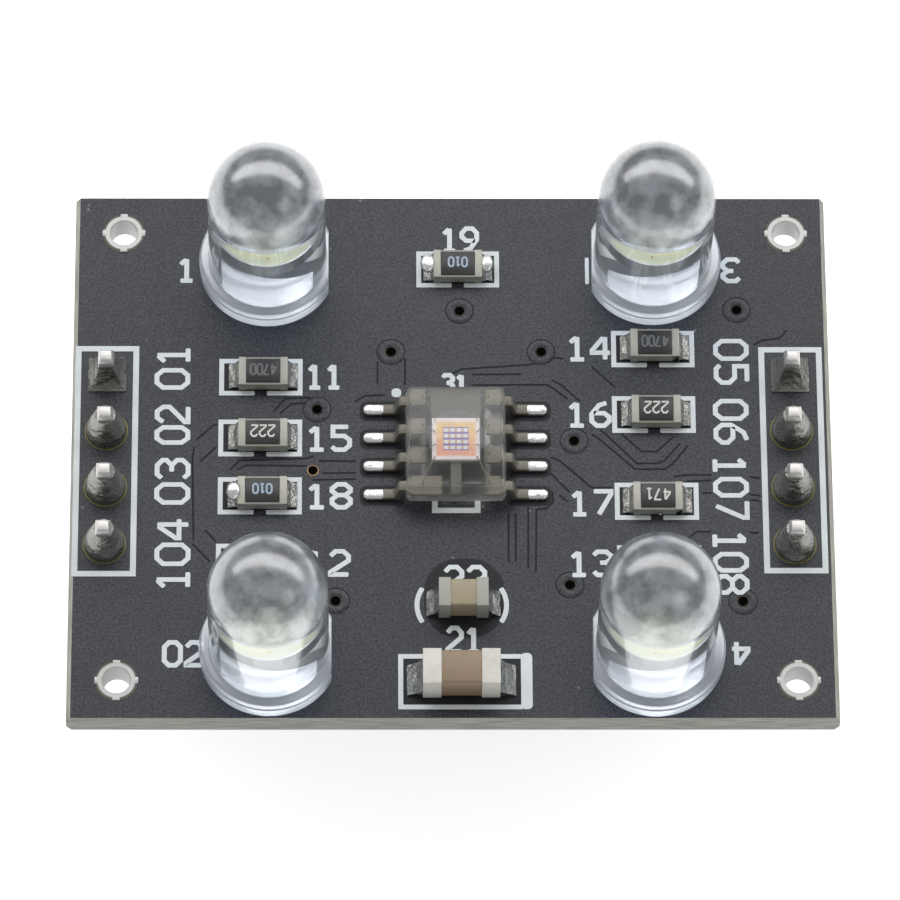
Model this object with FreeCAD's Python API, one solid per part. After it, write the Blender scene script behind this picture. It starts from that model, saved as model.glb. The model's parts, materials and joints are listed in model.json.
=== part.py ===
import FreeCAD, Part
import math
import os

# A small colour sensing module. A black circuit board carries a clear sensor package, four
# clear lamps, chip resistors and capacitors, and two rows of header pins that point down.
# All lengths are in millimetres. X runs along the board, Y from its front to its back and Z up.
# The origin lies under the middle of the board, level with the lower ends of the pins.

Vec = FreeCAD.Vector
UP = Vec(0, 0, 1)

# Circuit board, snapped out of its panel along scored left and right edges
BOARD_LENGTH = 31.0
BOARD_WIDTH = 23.4
BOARD_THICKNESS = 1.2
SCORE_DEPTH = 0.33
SCORE_HALF_ANGLE = 30.0

# Thickness of the copper on the board and in its mounting holes
COPPER = 0.04

# Mounting holes in the corners of the board, each ring with four short spokes
MOUNT_HOLE_R = 0.58
MOUNT_RING = 0.2
MOUNT_RING_SIDES = 16
MOUNT_SHIFT_X = 0.19
MOUNT_INSET_X = 1.82
MOUNT_INSET_Y = 1.63
MOUNT_SPOKE_REACH = 0.1
MOUNT_SPOKE_WIDTH = 0.3

# Header pins and the moulded strips that hold them
PIN_COUNT = 4
PIN_PITCH = 2.54
PIN_WIDTH = 0.64
PIN_TIP_WIDTH = 0.44
PIN_TIP_LENGTH = 0.2
PIN_BELOW_STRIP = 6.0
PIN_ABOVE_STRIP = 3.04
STRIP_WIDTH = 2.5
STRIP_HEIGHT = 2.54
STRIP_CORNER = 0.45
HEADER_INSET = 1.53
HEADER_SHIFT_X = -0.1
HEADER_SHIFT_Y = -0.25
HEADER_PAD_R = 0.84
HEADER_SQUARE_PAD = 1.56
HEADER_SQUARE_NECK = 0.08
HEADER_SOLDER_HEIGHT = 1.5
HEADER_SOLDER_SIDES = 12

# Clear lamps: the lens, its flange and the flat that marks the cathode side
LENS_R = 2.4
LENS_HEIGHT = 8.3
FLANGE_LIP = 0.42
FLANGE_THICKNESS = 1.0
FLANGE_EDGE = 0.15
FLAT_STEP = 0.1
LAMP_SHIFT_X = 0.3
LAMP_END_GAP = 4.745
LAMP_EDGE_GAP = 0.13

# How far each lamp, set by hand, stands off its nominal place, from the back left to the front right
LAMP_OFFSETS = ((0.1, -0.2), (0.06, -0.13), (0.26, -0.1), (-0.12, -0.12))

# Lead frame inside each lamp, stamped from strip
LAMP_LEAD_PITCH = 2.54
LAMP_LEAD_WIDTH = 0.5
LAMP_LEAD_BELOW = 1.3
LAMP_PAD_R = 0.85
LAMP_SOLDER_HEIGHT = 0.9
LAMP_SOLDER_SIDES = 8
CUP_RIM_HEIGHT = 3.5
CUP_R = 0.85
CUP_HEIGHT = 0.8
CUP_DEPTH = 0.45
CUP_FLOOR_R = 0.4
CUP_WALL = 0.17
CUP_SIDES = 16
POST_FOOT = 1.9
POST_NECK = 0.55
ANODE_HEAD = 0.65
ANODE_HEAD_HEIGHT = 1.1
POST_GAP = 0.2
LAMP_CHIP_WIDTH = 0.4
LAMP_CHIP_HEIGHT = 0.12
LAMP_WIRE_LOOP = 0.4

# Solder cones round a square lead: spare width at the neck and how far down they flare
SOLDER_NECK = 0.02
SOLDER_FLARE = 0.35

# Gold wires between chips and leads, in the lamps and in the sensor
WIRE_R = 0.015
WIRE_SHOULDER_SHARE = 0.5

# Sensor: a clear moulded package with four gull wing leads on each side
SENSOR_SHIFT_X = 0.15
SENSOR_WIDTH = 4.05
SENSOR_LENGTH = 4.7
SENSOR_HEIGHT = 1.5
SENSOR_STANDOFF = 0.12
SENSOR_DRAFT = 0.1
SENSOR_LEADS_A_ROW = 4
SENSOR_PITCH = 1.27
SENSOR_LEAD_SPAN = 6.0
SENSOR_LEAD_WIDTH = 0.42
SENSOR_LEAD_THICKNESS = 0.2
SENSOR_FOOT = 0.62
SENSOR_SHOULDER = 0.2
SENSOR_BEND = 0.08
SENSOR_PADDLE = 2.0
SENSOR_DIE_X = 1.9
SENSOR_DIE_Y = 1.84
SENSOR_DIE_HEIGHT = 0.25
SENSOR_DIE_MARGIN = 0.12
SENSOR_FINGER_GAP = 0.2
SENSOR_FINGER_WIDTH = 0.7
SENSOR_FINGER_LENGTH = 0.58
SENSOR_TONGUE_REACH = 0.65
SENSOR_TIE_MARGIN = 0.12
SENSOR_WIRE_LOOP = 0.2
SENSOR_LAND_INNER = 2.75
SENSOR_LAND_OUTER = 3.76
SENSOR_LAND_WIDTH = 0.52

# Chip resistors
RESISTOR_LENGTH = 2.0
RESISTOR_WIDTH = 1.25
RESISTOR_HEIGHT = 0.55
RESISTOR_CAP = 0.3
RESISTOR_CAP_WALL = 0.04
RESISTOR_GLAZE_END_GAP = 0.02
RESISTOR_GLAZE_SIDE_GAP = 0.1
RESISTOR_GLAZE_HEIGHT = 0.07

# Chip capacitors: a small one behind a larger one at the front edge
SMALL_CAP_LENGTH = 2.0
SMALL_CAP_WIDTH = 1.25
SMALL_CAP_HEIGHT = 1.25
LARGE_CAP_LENGTH = 3.1
LARGE_CAP_WIDTH = 1.52
LARGE_CAP_HEIGHT = 1.5
CAP_TERMINAL_SHARE = 0.24
CAP_WALL = 0.04

# Copper lands under the chips and the solder on them
LAND_UNDER = 0.3
RESISTOR_LAND_BEYOND = 0.42
SMALL_CAP_LAND_BEYOND = 0.5
LARGE_CAP_LAND_BEYOND = 0.65
LAND_WIDTH_SHARE = 0.88
SOLDER_CLIMB = 0.72
SOLDER_CLIMB_MOST = 0.9
SOLDER_SAG_REACH = 0.35
SOLDER_SAG_HEIGHT = 0.4

# The two columns of resistors stand between the lamps. Each place is a share of the way from
# the middle of the board to where a chip would touch the lamp flange.
LEFT_COLUMN_SHIFT = -0.055
LEFT_BACK_SHARE = 0.655
LEFT_UPPER_SHARE = 0.13
LEFT_LOWER_SHARE = -0.36
LEFT_FRONT_SHARE = -0.926
RIGHT_COLUMN_SHIFT = 0.105
RIGHT_BACK_SHARE = 0.9
RIGHT_UPPER_SHARE = 0.332
RIGHT_LOWER_SHARE = -0.405
RIGHT_FRONT_SHARE = -0.94

# The other chips stand in from the back and the front edge, just right of the middle
BACK_CHIP_X = 0.29
BACK_CHIP_INSET = 3.3
SMALL_CAP_X = 0.43
SMALL_CAP_INSET = 4.98
LARGE_CAP_X = 0.33
LARGE_CAP_INSET = 1.62

# Levels from the pin ends up
STRIP_BOTTOM = PIN_BELOW_STRIP
STRIP_TOP = STRIP_BOTTOM + STRIP_HEIGHT
BOARD_BOTTOM = STRIP_TOP
BOARD_TOP = BOARD_BOTTOM + BOARD_THICKNESS
LAND_TOP = BOARD_TOP + COPPER
PIN_TOP = STRIP_TOP + PIN_ABOVE_STRIP

# Places in plan that several pieces share
FLANGE_R = LENS_R + FLANGE_LIP
LAMP_X = BOARD_LENGTH / 2 - LAMP_END_GAP - FLANGE_R
LAMP_Y = BOARD_WIDTH / 2 - LAMP_EDGE_GAP - FLANGE_R
HEADER_X = BOARD_LENGTH / 2 - HEADER_INSET
MOUNT_X = BOARD_LENGTH / 2 - MOUNT_INSET_X
MOUNT_Y = BOARD_WIDTH / 2 - MOUNT_INSET_Y


def box(x0, x1, y0, y1, z0, z1):
    """A box between two corners."""
    return Part.makeBox(x1 - x0, y1 - y0, z1 - z0, Vec(x0, y0, z0))


def centred_box(x, y, length, width, z0, z1):
    """A box centred in plan on a point."""
    return box(x - length / 2, x + length / 2, y - width / 2, y + width / 2, z0, z1)


def cylinder(x, y, radius, z0, z1):
    """An upright cylinder."""
    return Part.makeCylinder(radius, z1 - z0, Vec(x, y, z0))


def polygon_face(points):
    """A flat face inside a closed run of corners."""
    return Part.Face(Part.makePolygon(points + [points[0]]))


def stacked(rings):
    """A solid with flat sides through level rings of corners, from the lowest ring up."""
    faces = [polygon_face(rings[0]), polygon_face(rings[-1])]
    count = len(rings[0])
    for low, high in zip(rings, rings[1:]):
        for i in range(count):
            j = (i + 1) % count
            faces.append(polygon_face([low[i], low[j], high[j], high[i]]))
    return Part.Solid(Part.Shell(faces))


def oblong_ring(length, width, z):
    """The four corners of a level rectangle about the Z axis."""
    x = length / 2
    y = width / 2
    return [Vec(-x, -y, z), Vec(x, -y, z), Vec(x, y, z), Vec(-x, y, z)]


def round_ring(radius, z, sides):
    """The corners of a level regular polygon about the Z axis."""
    angles = [2 * math.pi * i / sides for i in range(sides)]
    return [Vec(radius * math.cos(a), radius * math.sin(a), z) for a in angles]


def cut_corners(corners, picked, size):
    """A closed run of (x, z) corners with the picked ones cut off by a short edge."""
    made = []
    for i, here in enumerate(corners):
        if i not in picked:
            made.append(here)
            continue
        for other in (corners[i - 1], corners[(i + 1) % len(corners)]):
            share = size / math.dist(here, other)
            made.append(tuple(h + (o - h) * share for h, o in zip(here, other)))
    return made


def fused(shapes):
    """Several touching solids as one, with shared faces merged."""
    return shapes[0].fuse(shapes[1:]).removeSplitter()


def save(name, solids):
    """Write one named piece, or a group of like pieces, as a STEP file."""
    shape = solids if isinstance(solids, Part.Shape) else Part.makeCompound(solids)
    shape.exportStep("parts/" + name + ".step")


def header_rows():
    """The X of the left and the right header row."""
    return {"left": HEADER_SHIFT_X - HEADER_X, "right": HEADER_SHIFT_X + HEADER_X}


def pin_places(row_x):
    """The four pin places of one row, from the back to the front."""
    middle = (PIN_COUNT - 1) / 2
    return [(row_x, HEADER_SHIFT_Y + (middle - i) * PIN_PITCH) for i in range(PIN_COUNT)]


def mount_places():
    """The four mounting holes."""
    return [(MOUNT_SHIFT_X + sx * MOUNT_X, sy * MOUNT_Y) for sx in (-1, 1) for sy in (-1, 1)]


def lamp_places():
    """The four lamps as (x, y, side), where side says which way the cathode flat faces."""
    signs = [(sx, sy) for sy in (1, -1) for sx in (-1, 1)]
    return [
        (LAMP_SHIFT_X + sx * LAMP_X + dx, sy * LAMP_Y + dy, -sx)
        for (sx, sy), (dx, dy) in zip(signs, LAMP_OFFSETS)
    ]


def lamp_lead_places():
    """Where the eight lamp leads pass through the board."""
    half = LAMP_LEAD_PITCH / 2
    return [(x + s * half, y) for x, y, side in lamp_places() for s in (-1, 1)]


def circuit_board():
    """The board, with scored long sides and every hole that passes through it."""
    half = BOARD_LENGTH / 2
    slant = SCORE_DEPTH * math.tan(math.radians(SCORE_HALF_ANGLE))
    section = [
        Vec(-half + slant, 0, BOARD_BOTTOM),
        Vec(half - slant, 0, BOARD_BOTTOM),
        Vec(half, 0, BOARD_BOTTOM + SCORE_DEPTH),
        Vec(half, 0, BOARD_TOP - SCORE_DEPTH),
        Vec(half - slant, 0, BOARD_TOP),
        Vec(-half + slant, 0, BOARD_TOP),
        Vec(-half, 0, BOARD_TOP - SCORE_DEPTH),
        Vec(-half, 0, BOARD_BOTTOM + SCORE_DEPTH),
    ]
    slab = polygon_face(section).extrude(Vec(0, BOARD_WIDTH, 0))
    slab.translate(Vec(0, -BOARD_WIDTH / 2, 0))
    holes = [cylinder(x, y, MOUNT_HOLE_R, BOARD_BOTTOM, BOARD_TOP) for x, y in mount_places()]
    for row_x in header_rows().values():
        holes += [lead_hole(place, PIN_WIDTH) for place in pin_places(row_x)]
    holes += [lead_hole(place, LAMP_LEAD_WIDTH) for place in lamp_lead_places()]
    return slab.cut(holes)


def lead_hole(place, side):
    """The way through the board that one square lead leaves in its solder filled hole."""
    return centred_box(place[0], place[1], side, side, BOARD_BOTTOM, BOARD_TOP)


def mount_ring(place):
    """The bare copper round a mounting hole, a flat ring with four short spokes."""
    ring_r = MOUNT_HOLE_R + MOUNT_RING
    hole_r = MOUNT_HOLE_R / math.cos(math.pi / MOUNT_RING_SIDES)
    reach = 2 * (ring_r + MOUNT_SPOKE_REACH)
    ring = fused([
        stacked([round_ring(ring_r, z, MOUNT_RING_SIDES) for z in (0, COPPER)]),
        centred_box(0, 0, reach, MOUNT_SPOKE_WIDTH, 0, COPPER),
        centred_box(0, 0, MOUNT_SPOKE_WIDTH, reach, 0, COPPER),
    ])
    ring = ring.cut(stacked([round_ring(hole_r, z, MOUNT_RING_SIDES) for z in (0, COPPER)]))
    ring.translate(Vec(place[0], place[1], BOARD_TOP))
    return ring


def header_pin(place):
    """A square pin with tapered ends."""
    levels = [
        (0.0, PIN_TIP_WIDTH),
        (PIN_TIP_LENGTH, PIN_WIDTH),
        (PIN_TOP - PIN_TIP_LENGTH, PIN_WIDTH),
        (PIN_TOP, PIN_TIP_WIDTH),
    ]
    pin = stacked([oblong_ring(side, side, z) for z, side in levels])
    pin.translate(Vec(place[0], place[1], 0))
    return pin


def header_strip(row_x):
    """The moulded strip, notched between its cells, with a square hole for each pin."""
    half = STRIP_WIDTH / 2
    places = pin_places(row_x)
    right_side = []
    for x, y in places:
        back = y + PIN_PITCH / 2
        front = y - PIN_PITCH / 2
        right_side.append((half - STRIP_CORNER, back))
        right_side.append((half, back - STRIP_CORNER))
        right_side.append((half, front + STRIP_CORNER))
    right_side.append((half - STRIP_CORNER, places[-1][1] - PIN_PITCH / 2))
    left_side = [(-dx, y) for dx, y in reversed(right_side)]
    corners = [Vec(row_x + dx, y, STRIP_BOTTOM) for dx, y in right_side + left_side]
    strip = polygon_face(corners).extrude(Vec(0, 0, STRIP_HEIGHT))
    holes = [centred_box(x, y, PIN_WIDTH, PIN_WIDTH, STRIP_BOTTOM, STRIP_TOP) for x, y in places]
    return strip.cut(holes)


def lead_joint(pad_r, lead_width, climb, sides):
    """Solder that covers a pad at Z 0 and climbs a square lead in a hollow cone."""
    lead_r = math.hypot(lead_width, lead_width) / 2
    neck_r = lead_r / math.cos(math.pi / sides) + SOLDER_NECK
    waist_r = neck_r + SOLDER_FLARE * (pad_r - neck_r)
    levels = [(pad_r, 0), (waist_r, SOLDER_FLARE * climb), (neck_r, climb)]
    joint = stacked([round_ring(r, z, sides) for r, z in levels])
    return joint.cut(centred_box(0, 0, lead_width, lead_width, 0, climb))


def square_joint():
    """Solder that covers the square pad of a row's first pin and climbs it in a hollow pyramid."""
    neck = PIN_WIDTH + 2 * HEADER_SQUARE_NECK
    waist = neck + SOLDER_FLARE * (HEADER_SQUARE_PAD - neck)
    climb = HEADER_SOLDER_HEIGHT
    levels = [(HEADER_SQUARE_PAD, 0), (waist, SOLDER_FLARE * climb), (neck, climb)]
    joint = stacked([oblong_ring(side, side, z) for side, z in levels])
    return joint.cut(centred_box(0, 0, PIN_WIDTH, PIN_WIDTH, 0, climb))


def header_solder(place, is_first):
    """The joint of one header pin on top of the board; the first pin of a row has a square pad."""
    if is_first:
        joint = square_joint()
    else:
        joint = lead_joint(HEADER_PAD_R, PIN_WIDTH, HEADER_SOLDER_HEIGHT, HEADER_SOLDER_SIDES)
    joint.translate(Vec(place[0], place[1], BOARD_TOP))
    return joint


def lamp_solder(place):
    """The joint of one lamp lead, hanging under the board."""
    joint = lead_joint(LAMP_PAD_R, LAMP_LEAD_WIDTH, LAMP_SOLDER_HEIGHT, LAMP_SOLDER_SIDES)
    joint.rotate(Vec(0, 0, 0), Vec(1, 0, 0), 180)
    joint.translate(Vec(place[0], place[1], BOARD_BOTTOM))
    return joint


def bond_wire(start, end, loop):
    """A fine wire that rises from one upward face, loops over and lands on another."""
    top = max(start.z, end.z) + loop
    shoulder = top - loop * WIRE_SHOULDER_SHARE
    middle = (start + end) / 2
    points = [
        start,
        Vec(start.x, start.y, shoulder),
        Vec(middle.x, middle.y, top),
        Vec(end.x, end.y, shoulder),
        end,
    ]
    rim = [start + corner for corner in oblong_ring(2 * WIRE_R, 2 * WIRE_R, 0)]
    section = Part.makePolygon(rim + [rim[0]])
    return Part.makePolygon(points).makePipeShell([section], True, False, 1)


class Lamp:
    """One lamp, drawn with its cathode towards minus X and then turned and placed."""

    def __init__(self, x, y, side):
        self.place = Vec(x, y, 0)
        self.turn = 0 if side < 0 else 180
        self.base = BOARD_TOP
        self.rim = self.base + CUP_RIM_HEIGHT
        self.lead_x = LAMP_LEAD_PITCH / 2
        self.lead_end = BOARD_BOTTOM - LAMP_LEAD_BELOW

    def set_in_place(self, shape):
        """Turn and move one piece of the lamp to where the lamp stands."""
        shape.rotate(Vec(0, 0, 0), UP, self.turn)
        shape.translate(self.place)
        return shape

    def outline(self):
        """The moulded outside: a barrel with a round dome, and a flange with one flat."""
        dome_z = self.base + LENS_HEIGHT - LENS_R
        shoulder = self.base + FLANGE_THICKNESS
        barrel = cylinder(0, 0, LENS_R, self.base, dome_z)
        dome = Part.makeSphere(LENS_R, Vec(0, 0, dome_z), UP, 0, 90, 360)
        flange = cylinder(0, 0, FLANGE_R, self.base, shoulder - FLANGE_EDGE)
        bevel = Part.makeCone(
            FLANGE_R, FLANGE_R - FLANGE_EDGE, FLANGE_EDGE, Vec(0, 0, shoulder - FLANGE_EDGE)
        )
        body = fused([barrel, dome, flange, bevel])
        flat_x = LENS_R + FLAT_STEP
        return body.cut(box(-2 * FLANGE_R, -flat_x, -FLANGE_R, FLANGE_R, self.base, shoulder))

    def strip_piece(self, corners):
        """A piece stamped from the lead frame strip, from its (x, z) corners."""
        half = LAMP_LEAD_WIDTH / 2
        face = polygon_face([Vec(x, -half, z) for x, z in corners])
        return face.extrude(Vec(0, LAMP_LEAD_WIDTH, 0))

    def cathode(self):
        """The long post that widens into the reflector cup."""
        inner = -self.lead_x + LAMP_LEAD_WIDTH / 2
        outer = -self.lead_x - LAMP_LEAD_WIDTH / 2
        cup_base = self.rim - CUP_HEIGHT
        post = self.strip_piece([
            (outer, self.lead_end),
            (inner, self.lead_end),
            (inner, self.base + POST_FOOT - POST_NECK),
            (CUP_R - CUP_WALL - POST_NECK, cup_base - POST_NECK),
            (CUP_R - CUP_WALL, cup_base),
            (-CUP_R + CUP_WALL, cup_base),
            (outer, self.base + POST_FOOT),
        ])
        head = stacked([round_ring(CUP_R, z, CUP_SIDES) for z in (cup_base, self.rim)])
        return post.fuse(head).removeSplitter().cut(self.cup_space())

    def cup_space(self):
        """The tapered hollow of the cup."""
        mouth_r = CUP_R - CUP_WALL
        levels = [(CUP_FLOOR_R, self.rim - CUP_DEPTH), (mouth_r, self.rim)]
        return stacked([round_ring(r, z, CUP_SIDES) for r, z in levels])

    def anode(self):
        """The short post with the platform that the wire lands on."""
        inner = self.lead_x - LAMP_LEAD_WIDTH / 2
        outer = self.lead_x + LAMP_LEAD_WIDTH / 2
        head_inner = CUP_R + POST_GAP
        head_base = self.rim - ANODE_HEAD_HEIGHT
        return self.strip_piece([
            (inner, self.lead_end),
            (outer, self.lead_end),
            (outer, head_base),
            (head_inner + ANODE_HEAD, head_base + POST_NECK / 2),
            (head_inner + ANODE_HEAD, self.rim),
            (head_inner, self.rim),
            (head_inner, head_base + POST_NECK / 2),
            (inner, head_base),
        ])

    def chip(self):
        """The light giving chip on the floor of the cup."""
        floor = self.rim - CUP_DEPTH
        return centred_box(0, 0, LAMP_CHIP_WIDTH, LAMP_CHIP_WIDTH, floor, floor + LAMP_CHIP_HEIGHT)

    def wire(self):
        """The wire from the chip to the anode."""
        landing = CUP_R + POST_GAP + ANODE_HEAD / 2
        chip_top = self.rim - CUP_DEPTH + LAMP_CHIP_HEIGHT
        return bond_wire(Vec(0, 0, chip_top), Vec(landing, 0, self.rim), LAMP_WIRE_LOOP)

    def pieces(self):
        """All pieces of the lamp, none of which overlap."""
        cathode = self.cathode()
        anode = self.anode()
        chip = self.chip()
        wire = self.wire()
        phosphor = self.cup_space().cut([chip, wire])
        lens = self.outline().cut([cathode, anode, wire, self.cup_space()])
        made = {
            "lens": lens,
            "cathode": cathode,
            "anode": anode,
            "phosphor": phosphor,
            "chip": chip,
            "wire": wire,
        }
        return {name: self.set_in_place(shape) for name, shape in made.items()}


class Sensor:
    """The clear package over the light sensing chip, with its leads."""

    def __init__(self):
        self.bottom = LAND_TOP + SENSOR_STANDOFF
        self.top = self.bottom + SENSOR_HEIGHT
        self.middle = (self.bottom + self.top) / 2
        self.frame_low = self.middle - SENSOR_LEAD_THICKNESS / 2
        self.frame_high = self.middle + SENSOR_LEAD_THICKNESS / 2
        self.finger_end = SENSOR_PADDLE / 2 + SENSOR_FINGER_GAP
        self.corner_y = (SENSOR_LEADS_A_ROW - 1) / 2 * SENSOR_PITCH

    def block(self):
        """The moulded block, drafted above and below its parting line."""
        narrow = 2 * SENSOR_DRAFT
        return stacked([
            oblong_ring(SENSOR_WIDTH - narrow, SENSOR_LENGTH - narrow, self.bottom),
            oblong_ring(SENSOR_WIDTH, SENSOR_LENGTH, self.middle),
            oblong_ring(SENSOR_WIDTH - narrow, SENSOR_LENGTH - narrow, self.top),
        ])

    def lead_profile(self):
        """The gull wing bends of one lead, from its finger to its toe, in (x, z)."""
        t = SENSOR_LEAD_THICKNESS
        toe = SENSOR_LEAD_SPAN / 2
        heel = toe - SENSOR_FOOT
        shoulder = SENSOR_WIDTH / 2 + SENSOR_SHOULDER
        corners = [
            (self.finger_end, self.frame_low),
            (shoulder - t / 2, self.frame_low),
            (heel - t / 2, LAND_TOP),
            (toe, LAND_TOP),
            (toe, LAND_TOP + t),
            (heel + t / 2, LAND_TOP + t),
            (shoulder + t / 2, self.frame_high),
            (self.finger_end, self.frame_high),
        ]
        return cut_corners(corners, (1, 2, 5, 6), SENSOR_BEND)

    def lead(self, y, side):
        """One lead. Its finger is wide, and the front left one reaches in past the paddle."""
        corners = self.lead_profile()
        w = SENSOR_LEAD_WIDTH
        solid = polygon_face([Vec(x, -w / 2, z) for x, z in corners]).extrude(Vec(0, w, 0))
        is_front_left = side < 0 and y < -self.corner_y + SENSOR_PITCH / 2
        tip = self.finger_end - (SENSOR_TONGUE_REACH if is_front_left else 0)
        root = self.finger_end + SENSOR_FINGER_LENGTH
        half = SENSOR_FINGER_WIDTH / 2
        solid = fused([solid, box(tip, root, -half, half, self.frame_low, self.frame_high)])
        if side < 0:
            solid.rotate(Vec(0, 0, 0), UP, 180)
        solid.translate(Vec(0, y, 0))
        return solid

    def paddle(self):
        """The plate under the chip. It runs on to the back, and a narrow tie runs to the front."""
        low = self.frame_low
        high = self.frame_high
        half = SENSOR_PADDLE / 2
        end = SENSOR_LENGTH / 2 - SENSOR_TIE_MARGIN
        plate = box(-half, half, -half, end, low, high)
        return fused([plate, box(-SENSOR_LEAD_WIDTH / 2, SENSOR_LEAD_WIDTH / 2, -end, 0, low, high)])

    def lead_rows(self):
        """Each lead as (y, side), counted round from the back left corner."""
        ys = [self.corner_y - i * SENSOR_PITCH for i in range(SENSOR_LEADS_A_ROW)]
        return [(y, -1) for y in ys] + [(y, 1) for y in reversed(ys)]

    def die(self):
        """The silicon chip on the paddle."""
        z = self.frame_high
        return centred_box(0, 0, SENSOR_DIE_X, SENSOR_DIE_Y, z, z + SENSOR_DIE_HEIGHT)

    def wires(self):
        """One bond wire from the chip's edge to the finger of each lead."""
        made = []
        die_top = self.frame_high + SENSOR_DIE_HEIGHT
        for y, side in self.lead_rows():
            start_x = side * (SENSOR_DIE_X / 2 - SENSOR_DIE_MARGIN)
            start_y = y / self.corner_y * (SENSOR_DIE_Y / 2 - SENSOR_DIE_MARGIN)
            end_x = side * (self.finger_end + SENSOR_DIE_MARGIN)
            start = Vec(start_x, start_y, die_top)
            made.append(bond_wire(start, Vec(end_x, y, self.frame_high), SENSOR_WIRE_LOOP))
        return made

    def pieces(self):
        """All pieces of the package, moved over the board."""
        leads = [self.lead(*row) for row in self.lead_rows()]
        paddle = self.paddle()
        die = self.die()
        wires = self.wires()
        body = self.block().cut(leads + [paddle, die] + wires)
        made = {"body": [body], "lead": leads, "paddle": [paddle], "die": [die], "wires": wires}
        for shapes in made.values():
            for shape in shapes:
                shape.translate(Vec(SENSOR_SHIFT_X, 0, 0))
        return made


def land(x0, x1, y, width):
    """A tinned copper land between two X values."""
    return box(min(x0, x1), max(x0, x1), y - width / 2, y + width / 2, BOARD_TOP, LAND_TOP)


def wedge(x0, x1, y, width, height):
    """Solder that slopes from full height at x0 down to the land at x1, hollow in between."""
    low = LAND_TOP
    front = y - width / 2
    sag_x = x0 + SOLDER_SAG_REACH * (x1 - x0)
    corners = [
        Vec(x0, front, low),
        Vec(x1, front, low),
        Vec(sag_x, front, low + SOLDER_SAG_HEIGHT * height),
        Vec(x0, front, low + height),
    ]
    return polygon_face(corners).extrude(Vec(0, width, 0))


def sensor_solder():
    """The tinned land and the solder at the toe of each sensor lead."""
    joints = []
    toe = SENSOR_LEAD_SPAN / 2
    width = (SENSOR_LAND_WIDTH + SENSOR_LEAD_WIDTH) / 2
    for y, side in Sensor().lead_rows():
        ends = [SENSOR_SHIFT_X + side * x for x in (SENSOR_LAND_INNER, toe, SENSOR_LAND_OUTER)]
        joints.append(fused([
            land(ends[0], ends[2], y, SENSOR_LAND_WIDTH),
            wedge(ends[1], ends[2], y, width, SENSOR_LEAD_THICKNESS),
        ]))
    return joints


class Chip:
    """A two ended chip part: its body, its two end caps and its solder."""

    def __init__(self, x, y, length, width, height, cap, wall, beyond):
        self.x = x
        self.y = y
        self.length = length
        self.width = width
        self.height = height
        self.cap = cap
        self.wall = wall
        self.beyond = beyond
        self.base = LAND_TOP

    def core(self):
        """The block that the end caps wrap."""
        w = self.wall
        return centred_box(
            self.x, self.y, self.length - 2 * w, self.width, self.base + w,
            self.base + self.height - w,
        )

    def caps(self):
        """The end caps, each folded round one end of the core."""
        low = self.base
        high = self.base + self.height
        made = []
        for side in (-1, 1):
            ends = sorted((
                self.x + side * self.length / 2,
                self.x + side * (self.length / 2 - self.cap),
            ))
            half = self.width / 2
            block = box(ends[0], ends[1], self.y - half, self.y + half, low, high)
            made.append(block.cut(self.core()))
        return made

    def solder(self):
        """The two tinned lands with the solder that climbs the end caps."""
        climb = SOLDER_CLIMB * min(self.height, SOLDER_CLIMB_MOST)
        width = LAND_WIDTH_SHARE * self.width
        made = []
        for side in (-1, 1):
            face = self.x + side * self.length / 2
            inner = face - side * LAND_UNDER
            outer = face + side * self.beyond
            made.append(fused([
                land(inner, outer, self.y, width),
                wedge(face, outer, self.y, width, climb),
            ]))
        return made


class Resistor(Chip):
    """A flat ceramic chip with a glazed resistive film on top."""

    def __init__(self, x, y):
        super().__init__(
            x, y, RESISTOR_LENGTH, RESISTOR_WIDTH, RESISTOR_HEIGHT, RESISTOR_CAP,
            RESISTOR_CAP_WALL, RESISTOR_LAND_BEYOND,
        )

    def body(self):
        """The ceramic core with the glaze between the caps."""
        top = self.base + self.height - self.wall
        length = self.length - 2 * self.cap - 2 * RESISTOR_GLAZE_END_GAP
        width = self.width - 2 * RESISTOR_GLAZE_SIDE_GAP
        glaze = centred_box(self.x, self.y, length, width, top, top + RESISTOR_GLAZE_HEIGHT)
        return fused([self.core(), glaze])


class Capacitor(Chip):
    """A layered ceramic block whose caps wrap all five faces of each end."""

    def __init__(self, x, y, length, width, height, beyond):
        cap = CAP_TERMINAL_SHARE * length
        super().__init__(x, y, length, width, height, cap, CAP_WALL, beyond)

    def core(self):
        """The block inside the caps, a cap wall smaller on every face."""
        w = self.wall
        return centred_box(
            self.x, self.y, self.length - 2 * w, self.width - 2 * w, self.base + w,
            self.base + self.height - w,
        )


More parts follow.
